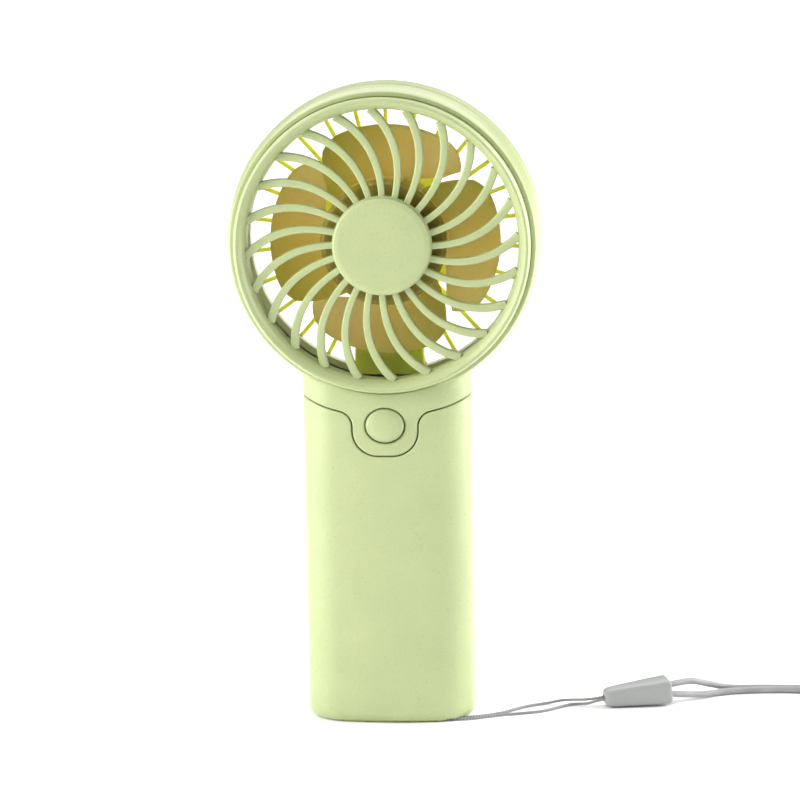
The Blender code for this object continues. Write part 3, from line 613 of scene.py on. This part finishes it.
def make_bead(paint):
    """Moulded bead: wide flat faces with soft corners, open at the nose and at the tail."""
    along = (BEAD_TAIL - BEAD_NOSE).normalized()
    level = Vector((0, 0, 1)).cross(along).normalized()
    up = along.cross(level)
    length = (BEAD_TAIL - BEAD_NOSE).length
    bm = bmesh.new()
    rings = []
    for t in BEAD_STATIONS:
        nose = max(0.0, 1 - t / BEAD_NOSE_PART)
        tail = max(0.0, (t - 1 + BEAD_TAIL_PART) / BEAD_TAIL_PART)
        inset = (BEAD_NOSE_ROUND * (1 - math.sqrt(1 - nose ** 2))
                 + BEAD_TAIL_ROUND * (1 - math.sqrt(max(0.0, 1 - tail ** 2))))
        depth = BEAD_NOSE_SIZE[0] + BEAD_GROWTH[0] * t ** 0.85 - 2 * inset
        height = BEAD_NOSE_SIZE[1] + BEAD_GROWTH[1] * t ** 0.8 - 2 * inset
        low = height / 2 - (0.25 + 0.35 * t)
        corner = 1.15 - 0.5 * inset
        shape = rounded([(-depth / 2, -low, corner), (depth / 2, -low, corner),
                         (depth / 2, height / 2, corner), (-depth / 2, height / 2, corner)], 5)
        middle = BEAD_NOSE + along * length * t
        rings.append([middle + level * a + up * b for a, b in shape])
    loft(bm, rings)
    bead = add_piece("bead_shell", bm, paint, 60.0)
    for name, place, wide, tall, start in (("nose_hole", BEAD_NOSE, 1.5, 1.0, -1.0),
                                           ("tail_hole", BEAD_TAIL, 2.5, 2.6, -3.0)):
        hole = bmesh.new()
        middle = place - level * 0.1
        ends = [middle + along * start, middle + along * (start + 4.0)]
        loft(hole, [[end + level * wide * math.cos(a) + up * (tall * math.sin(a) + 0.1)
                     for a in (2 * math.pi * k / 32 for k in range(32))] for end in ends])
        combine(bead, add_piece(name, hole, None), "DIFFERENCE")
    stands_for(bead, ["strap_bead"], "root")
    return bead


def make_strap(cord_paint, bead_paint):
    bead = make_bead(bead_paint)
    for name, node, points, radius, strands, pitch, around, parts in (
            ("thin_cord", "strap_thin_cord", THIN_ROUTE, THIN_CORD_R, 2, 1.9, 12, [bead]),
            ("wrist_loop", "wrist_cord", WRIST_ROUTE, WRIST_CORD_R, 6, 5.4, 36, [])):
        route, length = smooth_route(points, CORD_STEP)
        cord = braided_tube(name, route, radius, strands, pitch, around, cord_paint)
        stands_for(cord, [node], "root")


# ---------------------------------------- outlines of neck and handle

def arc(centre, radius, start, end, steps):
    """Points on a circle in the (x, z) plane, from one angle to another, in degrees."""
    angles = (start + (end - start) * i / steps for i in range(steps + 1))
    return [(centre[0] + x, centre[1] + z) for x, z in (polar(radius, a) for a in angles)]


FRONT_STRAIGHT = HALF_WIDTH - CORNER_R
SIDE_STRAIGHT = HALF_DEPTH - CORNER_R
CORNER_LENGTH = CORNER_R * math.pi / 2
QUARTER = FRONT_STRAIGHT + CORNER_LENGTH + SIDE_STRAIGHT


def around_handle(s, depth=0.0):
    """Point (x, y) at s along the handle's outline, from the middle of its front to the right.

    depth is how far inside the surface it lies. At 2 * QUARTER s is at the middle of the back.
    The front is slightly crowned.
    """
    s = (s + 2 * QUARTER) % (4 * QUARTER) - 2 * QUARTER
    side, s = (1 if s >= 0 else -1), abs(s)
    facing = -1
    if s > QUARTER:
        s, facing = 2 * QUARTER - s, 1
    if s <= FRONT_STRAIGHT:
        x, out = s, HALF_DEPTH - depth
    elif s <= FRONT_STRAIGHT + CORNER_LENGTH:
        angle = (s - FRONT_STRAIGHT) / CORNER_R
        x = FRONT_STRAIGHT + (CORNER_R - depth) * math.sin(angle)
        out = SIDE_STRAIGHT + (CORNER_R - depth) * math.cos(angle)
    else:
        x, out = HALF_WIDTH - depth, QUARTER - s
    if facing < 0:
        out -= CROWN * (x / HALF_WIDTH) ** 2 * out / HALF_DEPTH
    return side * x, facing * out


def seam_arc(s, grow):
    """Height of the seam's arc at s, moved away from the head by grow."""
    x = around_handle(s)[0]
    return SEAM_CENTRE_Z - math.sqrt((SEAM_R + grow) ** 2 - x * x)


def tab_half(grow):
    """Right half of the tab's edge, from its bottom middle to where its fillet meets the arc."""
    half, corner, fillet = TAB_HALF_WIDTH + grow, TAB_CORNER_R + grow, TAB_FILLET_R - grow
    low = TAB_BOTTOM_Z - grow
    fillet_x = half + fillet
    fillet_z = SEAM_CENTRE_Z - math.sqrt((SEAM_R + grow + fillet) ** 2 - fillet_x ** 2)
    meets = math.degrees(math.atan2(SEAM_CENTRE_Z - fillet_z, -fillet_x))
    edge = [((half - corner) * i / 2, low) for i in range(2)]
    edge += arc((half - corner, low + corner), corner, -90.0, 0.0, 14)
    return edge + arc((fillet_x, fillet_z), fillet, 180.0, meets, 12)


def spaced(start, end, step):
    """Numbers from start to end, about step apart."""
    count = max(1, round(abs(end - start) / step))
    return [start + (end - start) * i / count for i in range(count + 1)]


def edge_line(stations, grow, with_tab):
    """The seam as (s, z) points, left to right, through the stations outside the tab."""
    if not with_tab:
        return [(s, seam_arc(s, grow)) for s in stations]
    half = tab_half(grow)
    inner = TAB_HALF_WIDTH + TAB_FILLET_R + 0.6
    right = [(s, seam_arc(s, grow)) for s in stations if s > inner]
    left = [(s, seam_arc(s, grow)) for s in stations if s < -inner]
    return left + [(-x, z) for x, z in half[::-1]] + half[1:] + right


def ellipse(centre, half_width, half_height, count=48):
    """Points round an ellipse, or round a circle if both halves are equal."""
    return [(centre[0] + half_width * math.cos(2 * math.pi * k / count),
             centre[1] + half_height * math.sin(2 * math.pi * k / count)) for k in range(count)]


def slot_outline(centre, half_width, half_height):
    """An upright slot with round ends."""
    ends = half_height - half_width
    return (arc((centre[0], centre[1] + ends), half_width, 0.0, 180.0, 12)
            + arc((centre[0], centre[1] - ends), half_width, 180.0, 360.0, 12))


def inside(point, outline):
    """True if a point is inside a closed outline."""
    x, z = point
    odd = False
    for (ax, az), (bx, bz) in zip(outline, outline[1:] + outline[:1]):
        if (az > z) != (bz > z) and x < ax + (z - az) * (bx - ax) / (bz - az):
            odd = not odd
    return odd


def lip():
    """(inset, depth) steps round a lip, from the surface to the wall of the gap."""
    angles = (math.pi / 2 * i / LIP_STEPS for i in range(LIP_STEPS + 1))
    return [(LIP_R * (1 - math.sin(a)), LIP_R * (1 - math.cos(a))) for a in angles]


NEAR_BORDER = 0.45          # of a step: points closer than this to the outline are left out
FLAT_TOLERANCE = 0.0001


def thick_skin(bm, outline, edges, step_s, step_z, squeeze=None):
    """Add a wall that follows the handle's outline, filled inside a closed (s, z) outline.

    edges holds (lines, closed) for each rounded edge: the lines are the edge's (s, z) points at
    each step of lip(), and the first line is on the outline or round a hole. squeeze moves the
    heights of the inner face.
    """
    holes = [lines[0] for lines, closed in edges if closed and lines[0] != outline]
    points, borders = [], []
    for line in [outline, *holes]:
        first, count = len(points), len(line)
        borders += [(first + i, first + (i + 1) % count) for i in range(count)]
        points += [Vector(p) for p in line]
    s_values, z_values = [p[0] for p in outline], [p[1] for p in outline]
    near = NEAR_BORDER * min(step_s, step_z)

    def filled(place):
        return inside(place, outline) and not any(inside(place, hole) for hole in holes)

    for s in spaced(min(s_values), max(s_values), step_s)[1:-1]:
        for z in spaced(min(z_values), max(z_values), step_z)[1:-1]:
            if filled((s, z)) and all(math.hypot(s - a, z - b) > near for a, b in outline):
                points.append(Vector((s, z)))
    flat, _, triangles = delaunay_2d_cdt(points, borders, [], 0, FLAT_TOLERANCE)[:3]
    faces = [t for t in triangles if filled(sum((flat[i] for i in t), Vector((0, 0))) / 3)]

    def vert(s, z, depth):
        if squeeze is not None and depth >= WALL:
            z = squeeze(z)
        return bm.verts.new((*around_handle(s, depth), z))

    for depth in (0.0, WALL):
        row = [vert(p.x, p.y, depth) for p in flat]
        for triangle in faces:
            bm.faces.new([row[i] for i in triangle])
    depths = [depth for _, depth in lip()]
    for lines, closed in edges:
        rows = [*zip(lines, depths), (lines[-1], WALL), (lines[0], WALL)]
        bridge(bm, [[vert(s, z, depth) for s, z in line] for line, depth in rows], closed)


# ---------------------------------------- head

FRONT_RIB_COUNT = 24
FRONT_RIB_START_R = 13.8
FRONT_RIB_LENGTH = 26.1
FRONT_RIB_PHASE = 14.3      # degrees
FRONT_RIB_SWEEP = 20.0
FRONT_RIB_WIDTHS = (1.85, 2.4)  # at the hub and at the ring
FRONT_RIB_FACES = (13.4, 10.8)  # front and back
FRONT_RIB_ROUND = 0.42
FRONT_RIB_STEPS = 26
REAR_RIB_COUNT = 26
REAR_RIB_START_R = 20.4
REAR_RIB_LENGTH = 20.4
REAR_RIB_PHASE = 7.6
REAR_RIB_WIDTHS = (1.3, 1.2)
REAR_RIB_FACES = (-12.2, -13.5)
REAR_RIB_ROUND = 0.3
REAR_RIB_STEPS = 4


def front_rib_line(t):
    """(radius, degrees) on a front rib's middle line at t, from the hub (0) to the ring (1)."""
    sweep = 0.24 * t + 0.76 * t ** 2
    return FRONT_RIB_START_R + FRONT_RIB_LENGTH * t, FRONT_RIB_PHASE + FRONT_RIB_SWEEP * sweep


def rear_rib_line(t):
    """The same for a rear rib, which is straight."""
    return REAR_RIB_START_R + REAR_RIB_LENGTH * t, REAR_RIB_PHASE


RIB_NUDGE = 0.01            # the direction at t is taken from just before it to just after it


def rib(bm, line, widths, faces, corner, phase, steps):
    """One grille rib with rounded corners, swept along its line."""
    front, back = faces
    rings = []
    for i in range(steps + 1):
        t = i / steps
        pair = []
        for shift in (-RIB_NUDGE, RIB_NUDGE):
            radius, angle = line(t + shift)
            pair.append(Vector(polar(radius, angle + phase)))
        middle = (pair[0] + pair[1]) / 2
        onward = (pair[1] - pair[0]).normalized()
        side = Vector((-onward.y, onward.x))
        half = (widths[0] + (widths[1] - widths[0]) * t) / 2
        shape = rounded([(half, back, 0.15), (half, front, corner), (-half, front, corner),
                         (-half, back, 0.15)], 3)
        rings.append([(middle.x + side.x * a, -f, HEAD_Z + middle.y + side.y * a)
                      for a, f in shape])
    loft(bm, rings)


def make_front_grille(paint):
    ring = turned("grille_front", [
        (RING_R, RING_BACK, 0.2), (RING_R, 15.3, 0.9), (42.5, RING_FRONT, 0.7),
        (41.7, 16.4, 1.5), (40.4, 15.0, 2.0), (39.7, 12.6, 2.0), (39.4, 9.0, 1.0),
        (41.2, RING_BACK, 0.3)], paint, TURN_STEPS, rounds=6)
    ribs = bmesh.new()
    for k in range(FRONT_RIB_COUNT):
        rib(ribs, front_rib_line, FRONT_RIB_WIDTHS, FRONT_RIB_FACES, FRONT_RIB_ROUND,
            360.0 * k / FRONT_RIB_COUNT, FRONT_RIB_STEPS)
    combine(ring, add_piece("ribs", ribs, paint), "UNION")
    hub = turned("hub", [(14.55, 11.0, 0.2), (14.55, 13.6, 0.35), (9.3, 13.6, 0.2),
                         (9.3, 11.0, 0.2)], paint, FINE_STEPS)
    combine(ring, hub, "UNION")
    stands_for(ring, ["front_grille"], "root")


def make_cap(paint):
    cap = turned("hub_disc", [
        (0.0, CAP_FRONT, 0.0), (12.6, CAP_FRONT - 0.05, 3.0), (CAP_R, CAP_FRONT - 0.35, 0.55),
        (CAP_R, 13.9, 0.15), (9.0, 13.9, 0.2), (9.0, 11.4, 0.2), (0.0, 11.4, 0.0)], paint,
        FINE_STEPS)
    stands_for(cap, ["grille_cap"], "root")


def neck_region(stations, with_tab):
    """Closed lines of one shell's neck, one for each step of the lip."""
    lines = []
    for inset, _ in lip():
        bottom = edge_line(stations, -SEAM_GAP / 2 - inset, with_tab)
        top = []
        for s in stations[::-1]:
            x = around_handle(s)[0]
            top.append((s, HEAD_Z - math.sqrt((NECK_TOP_R + inset) ** 2 - x * x)))
        lines.append(bottom + top)
    return lines


def add_neck(shell, name, first_s, last_s, with_tab, holes):
    """Join a shell's half of the neck to its half of the drum."""
    bm = bmesh.new()
    lines = neck_region(spaced(first_s, last_s, NECK_STEPS[0]), with_tab)
    thick_skin(bm, lines[0], [(lines, True)] + [(hole, True) for hole in holes], *NECK_STEPS)
    combine(shell, add_piece(name, bm, None), "UNION")


def make_front_shell(paint):
    half_gap = SPLIT_GAP / 2
    shell = turned("shell_front", [
        (HEAD_R, half_gap, 0.3), (HEAD_R, 4.5, 12.0), (45.35, 9.6, 12.0), (44.6, 12.1, 0.35),
        (RING_R + 0.12, 12.1, 0.2), (RING_R + 0.12, 10.6, 0.1), (DRUM_BORE_R, 10.2, 0.1),
        (DRUM_BORE_R, half_gap, 0.1)], paint, TURN_STEPS)
    centre = (0.0, BUTTON_Z)
    hole = [ellipse(centre, BUTTON_HOLE_R + inset, BUTTON_HOLE_R * BUTTON_SQUASH + inset)
            for inset, _ in lip()]
    edge = QUARTER - half_gap - NECK_SHY
    add_neck(shell, "neck_front", -edge, edge, True, [hole])
    stands_for(shell, ["front_shell"], "root")


def make_rear_shell(paint):
    half_gap = SPLIT_GAP / 2
    shell = turned("shell_rear", [
        (DRUM_BORE_R, -half_gap, 0.1), (DRUM_BORE_R, -14.0, 0.0), (41.7, -14.0, 0.1),
        (41.7, -16.3, 0.3), (42.4, DRUM_BACK, 0.5), (44.4, -14.6, 3.0), (HEAD_R, -8.5, 14.0),
        (HEAD_R, -half_gap, 0.3)], paint, TURN_STEPS)
    edge = QUARTER + half_gap + NECK_SHY
    add_neck(shell, "neck_rear", edge, 4 * QUARTER - edge, False, [])
    for side in (-1, 1):
        place = (side * CASE_SCREW_X, CASE_SCREW_Z)
        boss = turned("boss", [(0.0, -8.0, 0.0), (2.9, -8.0, 0.0), (2.9, -12.6, 0.0),
                               (0.0, -12.6, 0.0)], None, 48, place)
        combine(shell, boss, "UNION")
        recess = turned("recess", [(0.0, -11.7, 0.0), (2.3, -11.7, 0.1), (2.3, -13.0, 0.3),
                                   (2.75, -13.6, 0.0), (2.75, -14.5, 0.0), (0.0, -14.5, 0.0)],
                        None, 48, place)
        combine(shell, recess, "DIFFERENCE")
    stands_for(shell, ["rear_shell"], "root")


def make_rear_grille(paint, painted_light_paint):
    # the rear ring and the motor cup below are painted pale, as painted light
    ring = turned("rear_ring", [
        (RING_R, -10.8, 0.2), (RING_R, -13.7, 0.3), (40.9, -13.7, 0.4), (41.2, -10.8, 0.4)],
        painted_light_paint, TURN_STEPS)
    stands_for(ring, [], "root")
    ribs = bmesh.new()
    for k in range(REAR_RIB_COUNT):
        rib(ribs, rear_rib_line, REAR_RIB_WIDTHS, REAR_RIB_FACES, REAR_RIB_ROUND,
            360.0 * k / REAR_RIB_COUNT, REAR_RIB_STEPS)
    grille = add_piece("grille_rear", ribs, paint)
    flange = turned("flange", [(REAR_HUB_R, -11.9, 0.3), (REAR_HUB_R, -13.7, 0.4),
                               (CUP_R - 0.3, -13.7, 0.0), (CUP_R - 0.3, -11.9, 0.0)], paint,
                    FINE_STEPS)
    combine(grille, flange, "UNION")
    strut = bmesh.new()
    rings = []
    for z, half in ((HEAD_Z - 41.6, STRUT_HALF_WIDTH), (HEAD_Z - 16.6, STRUT_HALF_WIDTH - 0.9)):
        shape = rounded([(half, -13.6, 0.3), (half, -6.5, 0.8), (-half, -6.5, 0.8),
                         (-half, -13.6, 0.3)], 5)
        rings.append([(a, -f, z) for a, f in shape])
    loft(strut, rings)
    combine(grille, add_piece("strut", strut, paint), "UNION")
    w = CHANNEL_HALF_WIDTH
    for low, high, front, back in ((HEAD_Z - 44.5, HEAD_Z - 15.0, -7.9, -9.9),
                                   (HEAD_Z - 40.2, HEAD_Z - REAR_HUB_R - 0.4, -9.0, -15.0)):
        cut = bmesh.new()
        loft(cut, [[(-w, -front, z), (w, -front, z), (w, -back, z), (-w, -back, z)]
                   for z in (low, high)])
        combine(grille, add_piece("channel", cut, None), "DIFFERENCE")
    stands_for(grille, ["rear_grille"], "root")
    cup = turned("motor_cup", [
        (CUP_R, -3.9, 0.4), (CUP_R, -16.0, 0.3), (CUP_BORE_R, -16.0, 0.3),
        (CUP_BORE_R, -11.7, 0.0), (3.2, -11.7, 0.2), (3.2, -10.2, 0.2), (CUP_BORE_R, -10.2, 0.3),
        (CUP_BORE_R, -3.9, 0.4)], painted_light_paint, FINE_STEPS)
    stands_for(cup, [], "root")


def make_rear_covers(paint):
    cap = turned("hub_cover", [
        (0.0, -14.4, 0.0), (15.4, -14.4, 0.1), (15.4, -15.9, 0.4), (14.0, -16.4, 1.5),
        (11.0, -16.4, 0.2), (10.7, -16.15, 0.2), (10.2, -16.15, 0.2), (9.9, -16.4, 0.2),
        (0.0, -16.4, 0.0)], paint, FINE_STEPS)
    stands_for(cap, ["rear_hub_cap"], "root")
    low, high = box_mm("wire_cover")
    bm = bmesh.new()
    rings = []
    for y, inset in ((low.y, 0.0), (high.y - 0.3, 0.0), (high.y - 0.1, 0.1), (high.y, 0.3)):
        left, right = low.x + inset, high.x - inset
        bottom, top = low.z + inset, high.z - inset
        shape = rounded([(right, bottom, 0.6), (right, top, 0.6), (left, top, 0.6),
                         (left, bottom, 0.6)])
        rings.append([(x, y, z) for x, z in shape])
    loft(bm, rings)
    stands_for(add_piece("channel_cover", bm, paint), ["wire_cover"], "root")


# ---------------------------------------- impeller

BLADE_THICKNESS = 1.4
BLADE_REACH = 4.4           # how far a blade's ends stand in front of and behind its middle
BLADE_MIDDLE = 88.0         # degrees, as are the next five
BLADE_HALF_SPAN = 48.0
BLADE_INNER_START = 145.0
BLADE_OUTER_START = 124.0
BLADE_INNER_SPAN = 99.0
BLADE_OUTER_SPAN = 83.0
BLADE_ROOT = 0.9            # how deep a blade's root goes into the hub
BLADE_TIP_GAP = 0.1
WIDE_END = 0.16             # parts of a blade over which its ends round off, and by how much
NARROW_END = 0.22
WIDE_END_DROP = 2.2
NARROW_END_DROP = 4.6
BLADE_STEPS_ALONG = 56
BLADE_STEPS_ACROSS = 14
HUB_PAINTED_SHADE = 0.95             # places in the blade plastic's ramp of painted light and shade
WIDE_END_PAINTED_SHADE = 0.85


def blade_edges(s):
    """(radius, angle) of both edges at s, from a blade's wide end (0) to its narrow tip (1)."""
    inner_angle = BLADE_INNER_START - BLADE_INNER_SPAN * s
    inner_r = IMPELLER_HUB_R - BLADE_ROOT
    if inner_angle < 90.0:
        inner_r = inner_r / math.sin(math.radians(inner_angle))
    outer_angle = BLADE_OUTER_START - BLADE_OUTER_SPAN * s
    wide_end = max(0.0, 1.0 - s / WIDE_END)
    narrow_end = max(0.0, (s - 1.0 + NARROW_END) / NARROW_END)
    outer_r = (BLADE_TIP_R - BLADE_TIP_GAP - WIDE_END_DROP * wide_end ** 2
               - NARROW_END_DROP * narrow_end ** 2.4)
    return (inner_r, inner_angle), (outer_r, outer_angle)


def make_impeller(paint):
    wheel = turned("fan_wheel", [
        (SHAFT_BORE_R, 8.3, 0.1), (17.4, 8.3, 1.6), (IMPELLER_HUB_R, 7.4, 1.6),
        (IMPELLER_HUB_R, -3.2, 0.3), (17.0, -3.2, 0.3), (17.0, 6.8, 0.8), (4.0, 6.8, 0.3),
        (4.0, 4.9, 0.2), (SHAFT_BORE_R, 4.9, 0.1)], paint, FINE_STEPS)
    # the whole hub gets the darkest painted shade
    wheel.data.attributes.new("depth", "FLOAT", "POINT").data.foreach_set(
        "value", [HUB_PAINTED_SHADE] * len(wheel.data.vertices))
    blades = bmesh.new()
    depth = blades.verts.layers.float.new("depth")
    for k in range(BLADE_COUNT):
        rows = []
        for i in range(BLADE_STEPS_ALONG + 1):
            s = i / BLADE_STEPS_ALONG
            inner, outer = blade_edges(s)
            row = []
            for j in range(BLADE_STEPS_ACROSS + 1):
                t = j / BLADE_STEPS_ACROSS
                radius = inner[0] + (outer[0] - inner[0]) * t
                angle = inner[1] + (outer[1] - inner[1]) * t
                front = BLADE_REACH * (angle - BLADE_MIDDLE) / BLADE_HALF_SPAN
                x, z = polar(radius, angle + 360.0 * k / BLADE_COUNT)
                row.append(blades.verts.new((x, -front, HEAD_Z + z)))
                # painted shade, growing from the tip's painted highlight towards the wide end
                row[-1][depth] = WIDE_END_PAINTED_SHADE * (1 - s)
            rows.append(row)
        bridge(blades, rows, False)
    made = add_piece("blades", blades, paint)
    skin = made.modifiers.new("thickness", "SOLIDIFY")
    skin.thickness = BLADE_THICKNESS * MM
    skin.offset = 0.0
    edge = made.modifiers.new("edge", "BEVEL")
    edge.width = 0.45 * MM
    edge.segments = 3
    edge.limit_method = "ANGLE"
    edge.angle_limit = math.radians(60.0)
    combine(wheel, made, "UNION", 40.0)
    stands_for(wheel, ["impeller"], "rotor")


# ---------------------------------------- handle

PORT_HOLE_HALF = (1.95, 4.8)
LED_HOLE_R = 1.6
BASE_STEPS = 8
FLOOR_SQUEEZE = 0.4


def above_floor(z):
    """Height of the sleeve's inner face, which starts at the top of its floor."""
    return max(z, SLEEVE_FLOOR + (z - BASE_FILLET) * FLOOR_SQUEEZE)


def make_sleeve(paint):
    bm = bmesh.new()
    ring_stations = spaced(-2 * QUARTER, 2 * QUARTER, SLEEVE_STEPS[0])
    tops = [edge_line(ring_stations, SEAM_GAP / 2 + inset, True) for inset, _ in lip()]
    outline = tops[0] + [(s, BASE_FILLET) for s in ring_stations[::-1]]
    slot_s = -(QUARTER + (PORT_LOW.y + PORT_HIGH.y) / 2)
    slot_z = (PORT_LOW.z + PORT_HIGH.z) / 2
    led_z = (LED_LOW.z + LED_HIGH.z) / 2
    half_s, half_z = PORT_HOLE_HALF
    holes = [[slot_outline((slot_s, slot_z), half_s + inset, half_z + inset)
              for inset, _ in lip()],
             [ellipse((slot_s, led_z), LED_HOLE_R + inset, LED_HOLE_R + inset, 32)
              for inset, _ in lip()]]
    thick_skin(bm, outline, [(tops, False)] + [(hole, True) for hole in holes], *SLEEVE_STEPS,
               above_floor)
    base = []
    for i in range(BASE_STEPS + 1):
        angle = math.pi / 2 * i / BASE_STEPS
        inset = BASE_FILLET * (1 - math.cos(angle))
        z = BASE_FILLET * (1 - math.sin(angle))
        base.append([bm.verts.new((*around_handle(s, inset), z)) for s in ring_stations[:-1]])
    bridge(bm, base)
    bm.faces.new(base[-1])
    bm.faces.new([bm.verts.new((*around_handle(s, WALL), SLEEVE_FLOOR))
                  for s in ring_stations[:-1]])
    sleeve = add_piece("handle", bm, paint, 40.0)
    pocket = turned("pocket", [(0.0, 4.5, 0.0), (2.5, 4.5, 0.0), (2.5, -1.0, 0.0),
                               (0.0, -1.0, 0.0)], None, 32, (0.0, 0.0))
    pocket.rotation_euler.x = math.pi / 2
    pocket.location = (EYELET_X * MM, EYELET_Y * MM, 0.0)
    combine(sleeve, pocket, "DIFFERENCE", 40.0)
    stands_for(sleeve, ["handle_sleeve"], "root")


def make_button(paint):
    button = turned("button", [
        (0.0, 15.0, 0.0), (3.6, 14.85, 9.0), (5.15, 14.15, 1.6), (BUTTON_R, 12.9, 1.2),
        (BUTTON_R, 11.2, 0.1), (6.5, 11.2, 0.1), (6.5, 10.5, 0.1), (1.9, 10.5, 0.1),
        (1.9, 9.6, 0.1), (0.0, 9.6, 0.0)], paint, FINE_STEPS, (0.0, BUTTON_Z), BUTTON_SQUASH,
        rounds=6)
    stands_for(button, ["power_button"], "button")


def side_loft(outline, *stations):
    """A bmesh lofted along X: stations are (x, centre, grow) and the outline is (y, z) points."""
    bm = bmesh.new()
    rings = []
    for x, centre, grow in stations:
        rings.append([(x, centre[0] + a * (1 + grow), centre[1] + b * (1 + grow))
                      for a, b in outline])
    loft(bm, rings)
    return bm


def make_port(shell_paint, tongue_paint):
    low, high = PORT_LOW, PORT_HIGH
    centre = ((low.y + high.y) / 2, (low.z + high.z) / 2)
    half_y, half_z = (high.y - low.y) / 2, (high.z - low.z) / 2

    def outline(inset, corner):
        a, b = half_y - inset, half_z - inset
        return rounded([(-a, -b, corner), (a, -b, corner), (a, b, corner), (-a, b, corner)], 8)

    port = add_piece("charging_port", side_loft(outline(0.0, 1.55), (low.x, centre, -0.03),
                                                (low.x + 0.15, centre, 0.0),
                                                (high.x, centre, 0.0)), shell_paint)
    mouth = side_loft(outline(0.32, 1.2), (low.x - 1.0, centre, 0.0), (high.x - 0.8, centre, 0.0))
    combine(port, add_piece("mouth", mouth, None), "DIFFERENCE")
    stands_for(port, ["usb_port"], "root")
    tongue = rounded([(-0.35, -3.3, 0.1), (0.35, -3.3, 0.1), (0.35, 3.3, 0.1), (-0.35, 3.3, 0.1)])
    blade = add_piece("port_tongue", side_loft(tongue, (low.x + 0.6, centre, -0.05),
                                               (low.x + 0.8, centre, 0.0),
                                               (high.x - 0.9, centre, 0.0)), tongue_paint)
    stands_for(blade, [], "root")


def make_led(paint):
    centre = ((LED_LOW.y + LED_HIGH.y) / 2, (LED_LOW.z + LED_HIGH.z) / 2)
    radius = (LED_HIGH.z - LED_LOW.z) / 2
    circle = [polar(radius, 15.0 * k) for k in range(24)]
    stations = [(LED_LOW.x + 0.5 * (1 - math.cos(a)), centre, math.sin(a) - 1)
                for a in (math.pi / 2 * k / 5 for k in range(1, 6))]
    lens = add_piece("charge_lens", side_loft(circle, *stations, (LED_HIGH.x, centre, 0.0)), paint)
    stands_for(lens, ["charge_led"], "root")


def make_case_screws(paint):
    for number, side in enumerate((-1, 1), 1):
        place = (side * CASE_SCREW_X, CASE_SCREW_Z)
        screw = turned(f"shell_screw_{number}", [
            (0.0, 7.4, 0.0), (0.95, 7.4, 0.3), (0.95, -12.0, 0.1), (2.0, -12.0, 0.1),
            (2.0, -12.7, 0.25), (1.5, -13.0, 0.6), (0.0, -13.0, 0.0)], paint, 40, place)
        for half_x, half_z in ((1.15, 0.22), (0.22, 1.15)):
            slot = bmesh.new()
            x, z = place
            rings = []
            for y, grow in ((12.35, 0.6), (13.2, 1.0)):
                a, b = half_x * grow, half_z * grow
                rings.append([(x - a, y, z - b), (x + a, y, z - b), (x + a, y, z + b),
                              (x - a, y, z + b)])
            loft(slot, rings)
            combine(screw, add_piece("slot", slot, None), "DIFFERENCE")
        stands_for(screw, [f"case_screw_{number}"], "root")


# ---------------------------------------- the whole fan

def paint_cad_nodes(paints):
    """Better materials for the CAD pieces inside, whose shapes stay as they are."""
    for paint, nodes in paints:
        for node in nodes:
            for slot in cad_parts[node].material_slots:
                slot.material = paint


def main():
    green = plastic("body_plastic", BODY_GREEN, 0.32, 0.2, 0.12)
    # rear grille and its covers: own yellow-green plus painted light
    rear_green_painted_glow = plastic("rear_plastic_painted_glow", REAR_GREEN_PAINTED_GLOW, 0.42, 0.2, 0.7)
    # pale painted light for the rear ring and the motor cup
    painted_light_paint = plastic("painted_light_plastic", PALE_PAINTED_LIGHT, 0.40, 0.2)
    bead_paint = plastic("bead_plastic", BEAD_GREY, 0.36, 0.15)
    steel = metal("plated_steel", (0.62, 0.62, 0.64), 0.3)
    bronze = metal("sintered_bronze", (0.62, 0.47, 0.22), 0.42, 2500.0)
    white = plastic("white_plastic", (0.78, 0.78, 0.75), 0.45)
    black = plastic("black_plastic", (0.03, 0.03, 0.032), 0.45)

    make_camera()
    make_strap(braid_cloth("silver_braid", CORD_LIGHT, CORD_DARK), bead_paint)
    make_lights()
    make_floor(floor_paint())
    make_front_grille(green)
    make_cap(green)
    make_front_shell(green)
    make_rear_shell(green)
    make_rear_grille(rear_green_painted_glow, painted_light_paint)
    make_rear_covers(rear_green_painted_glow)
    make_impeller(blade_plastic())
    make_sleeve(green)
    make_button(green)
    make_port(steel, black)
    make_led(plastic("milky_lens", (0.75, 0.78, 0.74), 0.2, 0.05))
    make_case_screws(steel)
    paint_cad_nodes([
        (steel, ["motor_can", "motor_shaft", "motor_screw_1", "motor_screw_2"]),
        (metal("ferrite", (0.09, 0.09, 0.10), 0.55, 3000.0), ["motor_magnet"]),
        (windings("copper_turns", (0.72, 0.34, 0.14)), ["motor_armature"]),
        (bronze, ["motor_bearing_front", "motor_bearing_rear"]),
        (white, ["motor_end_bell", "battery_tray", "switch_plunger"]),
        (wrap_film("cell_film", (0.08, 0.22, 0.44)), ["battery_cell_1", "battery_cell_2"]),
        (plastic("board_mask", (0.03, 0.17, 0.07), 0.3), ["control_board"]),
        (black, ["push_switch"]),
        (plastic("red_cover", (0.55, 0.03, 0.02), 0.35), ["motor_wire_red", "battery_lead_red"]),
        (plastic("black_cover", (0.03, 0.03, 0.03), 0.35),
         ["motor_wire_black", "battery_lead_black"])])


main()
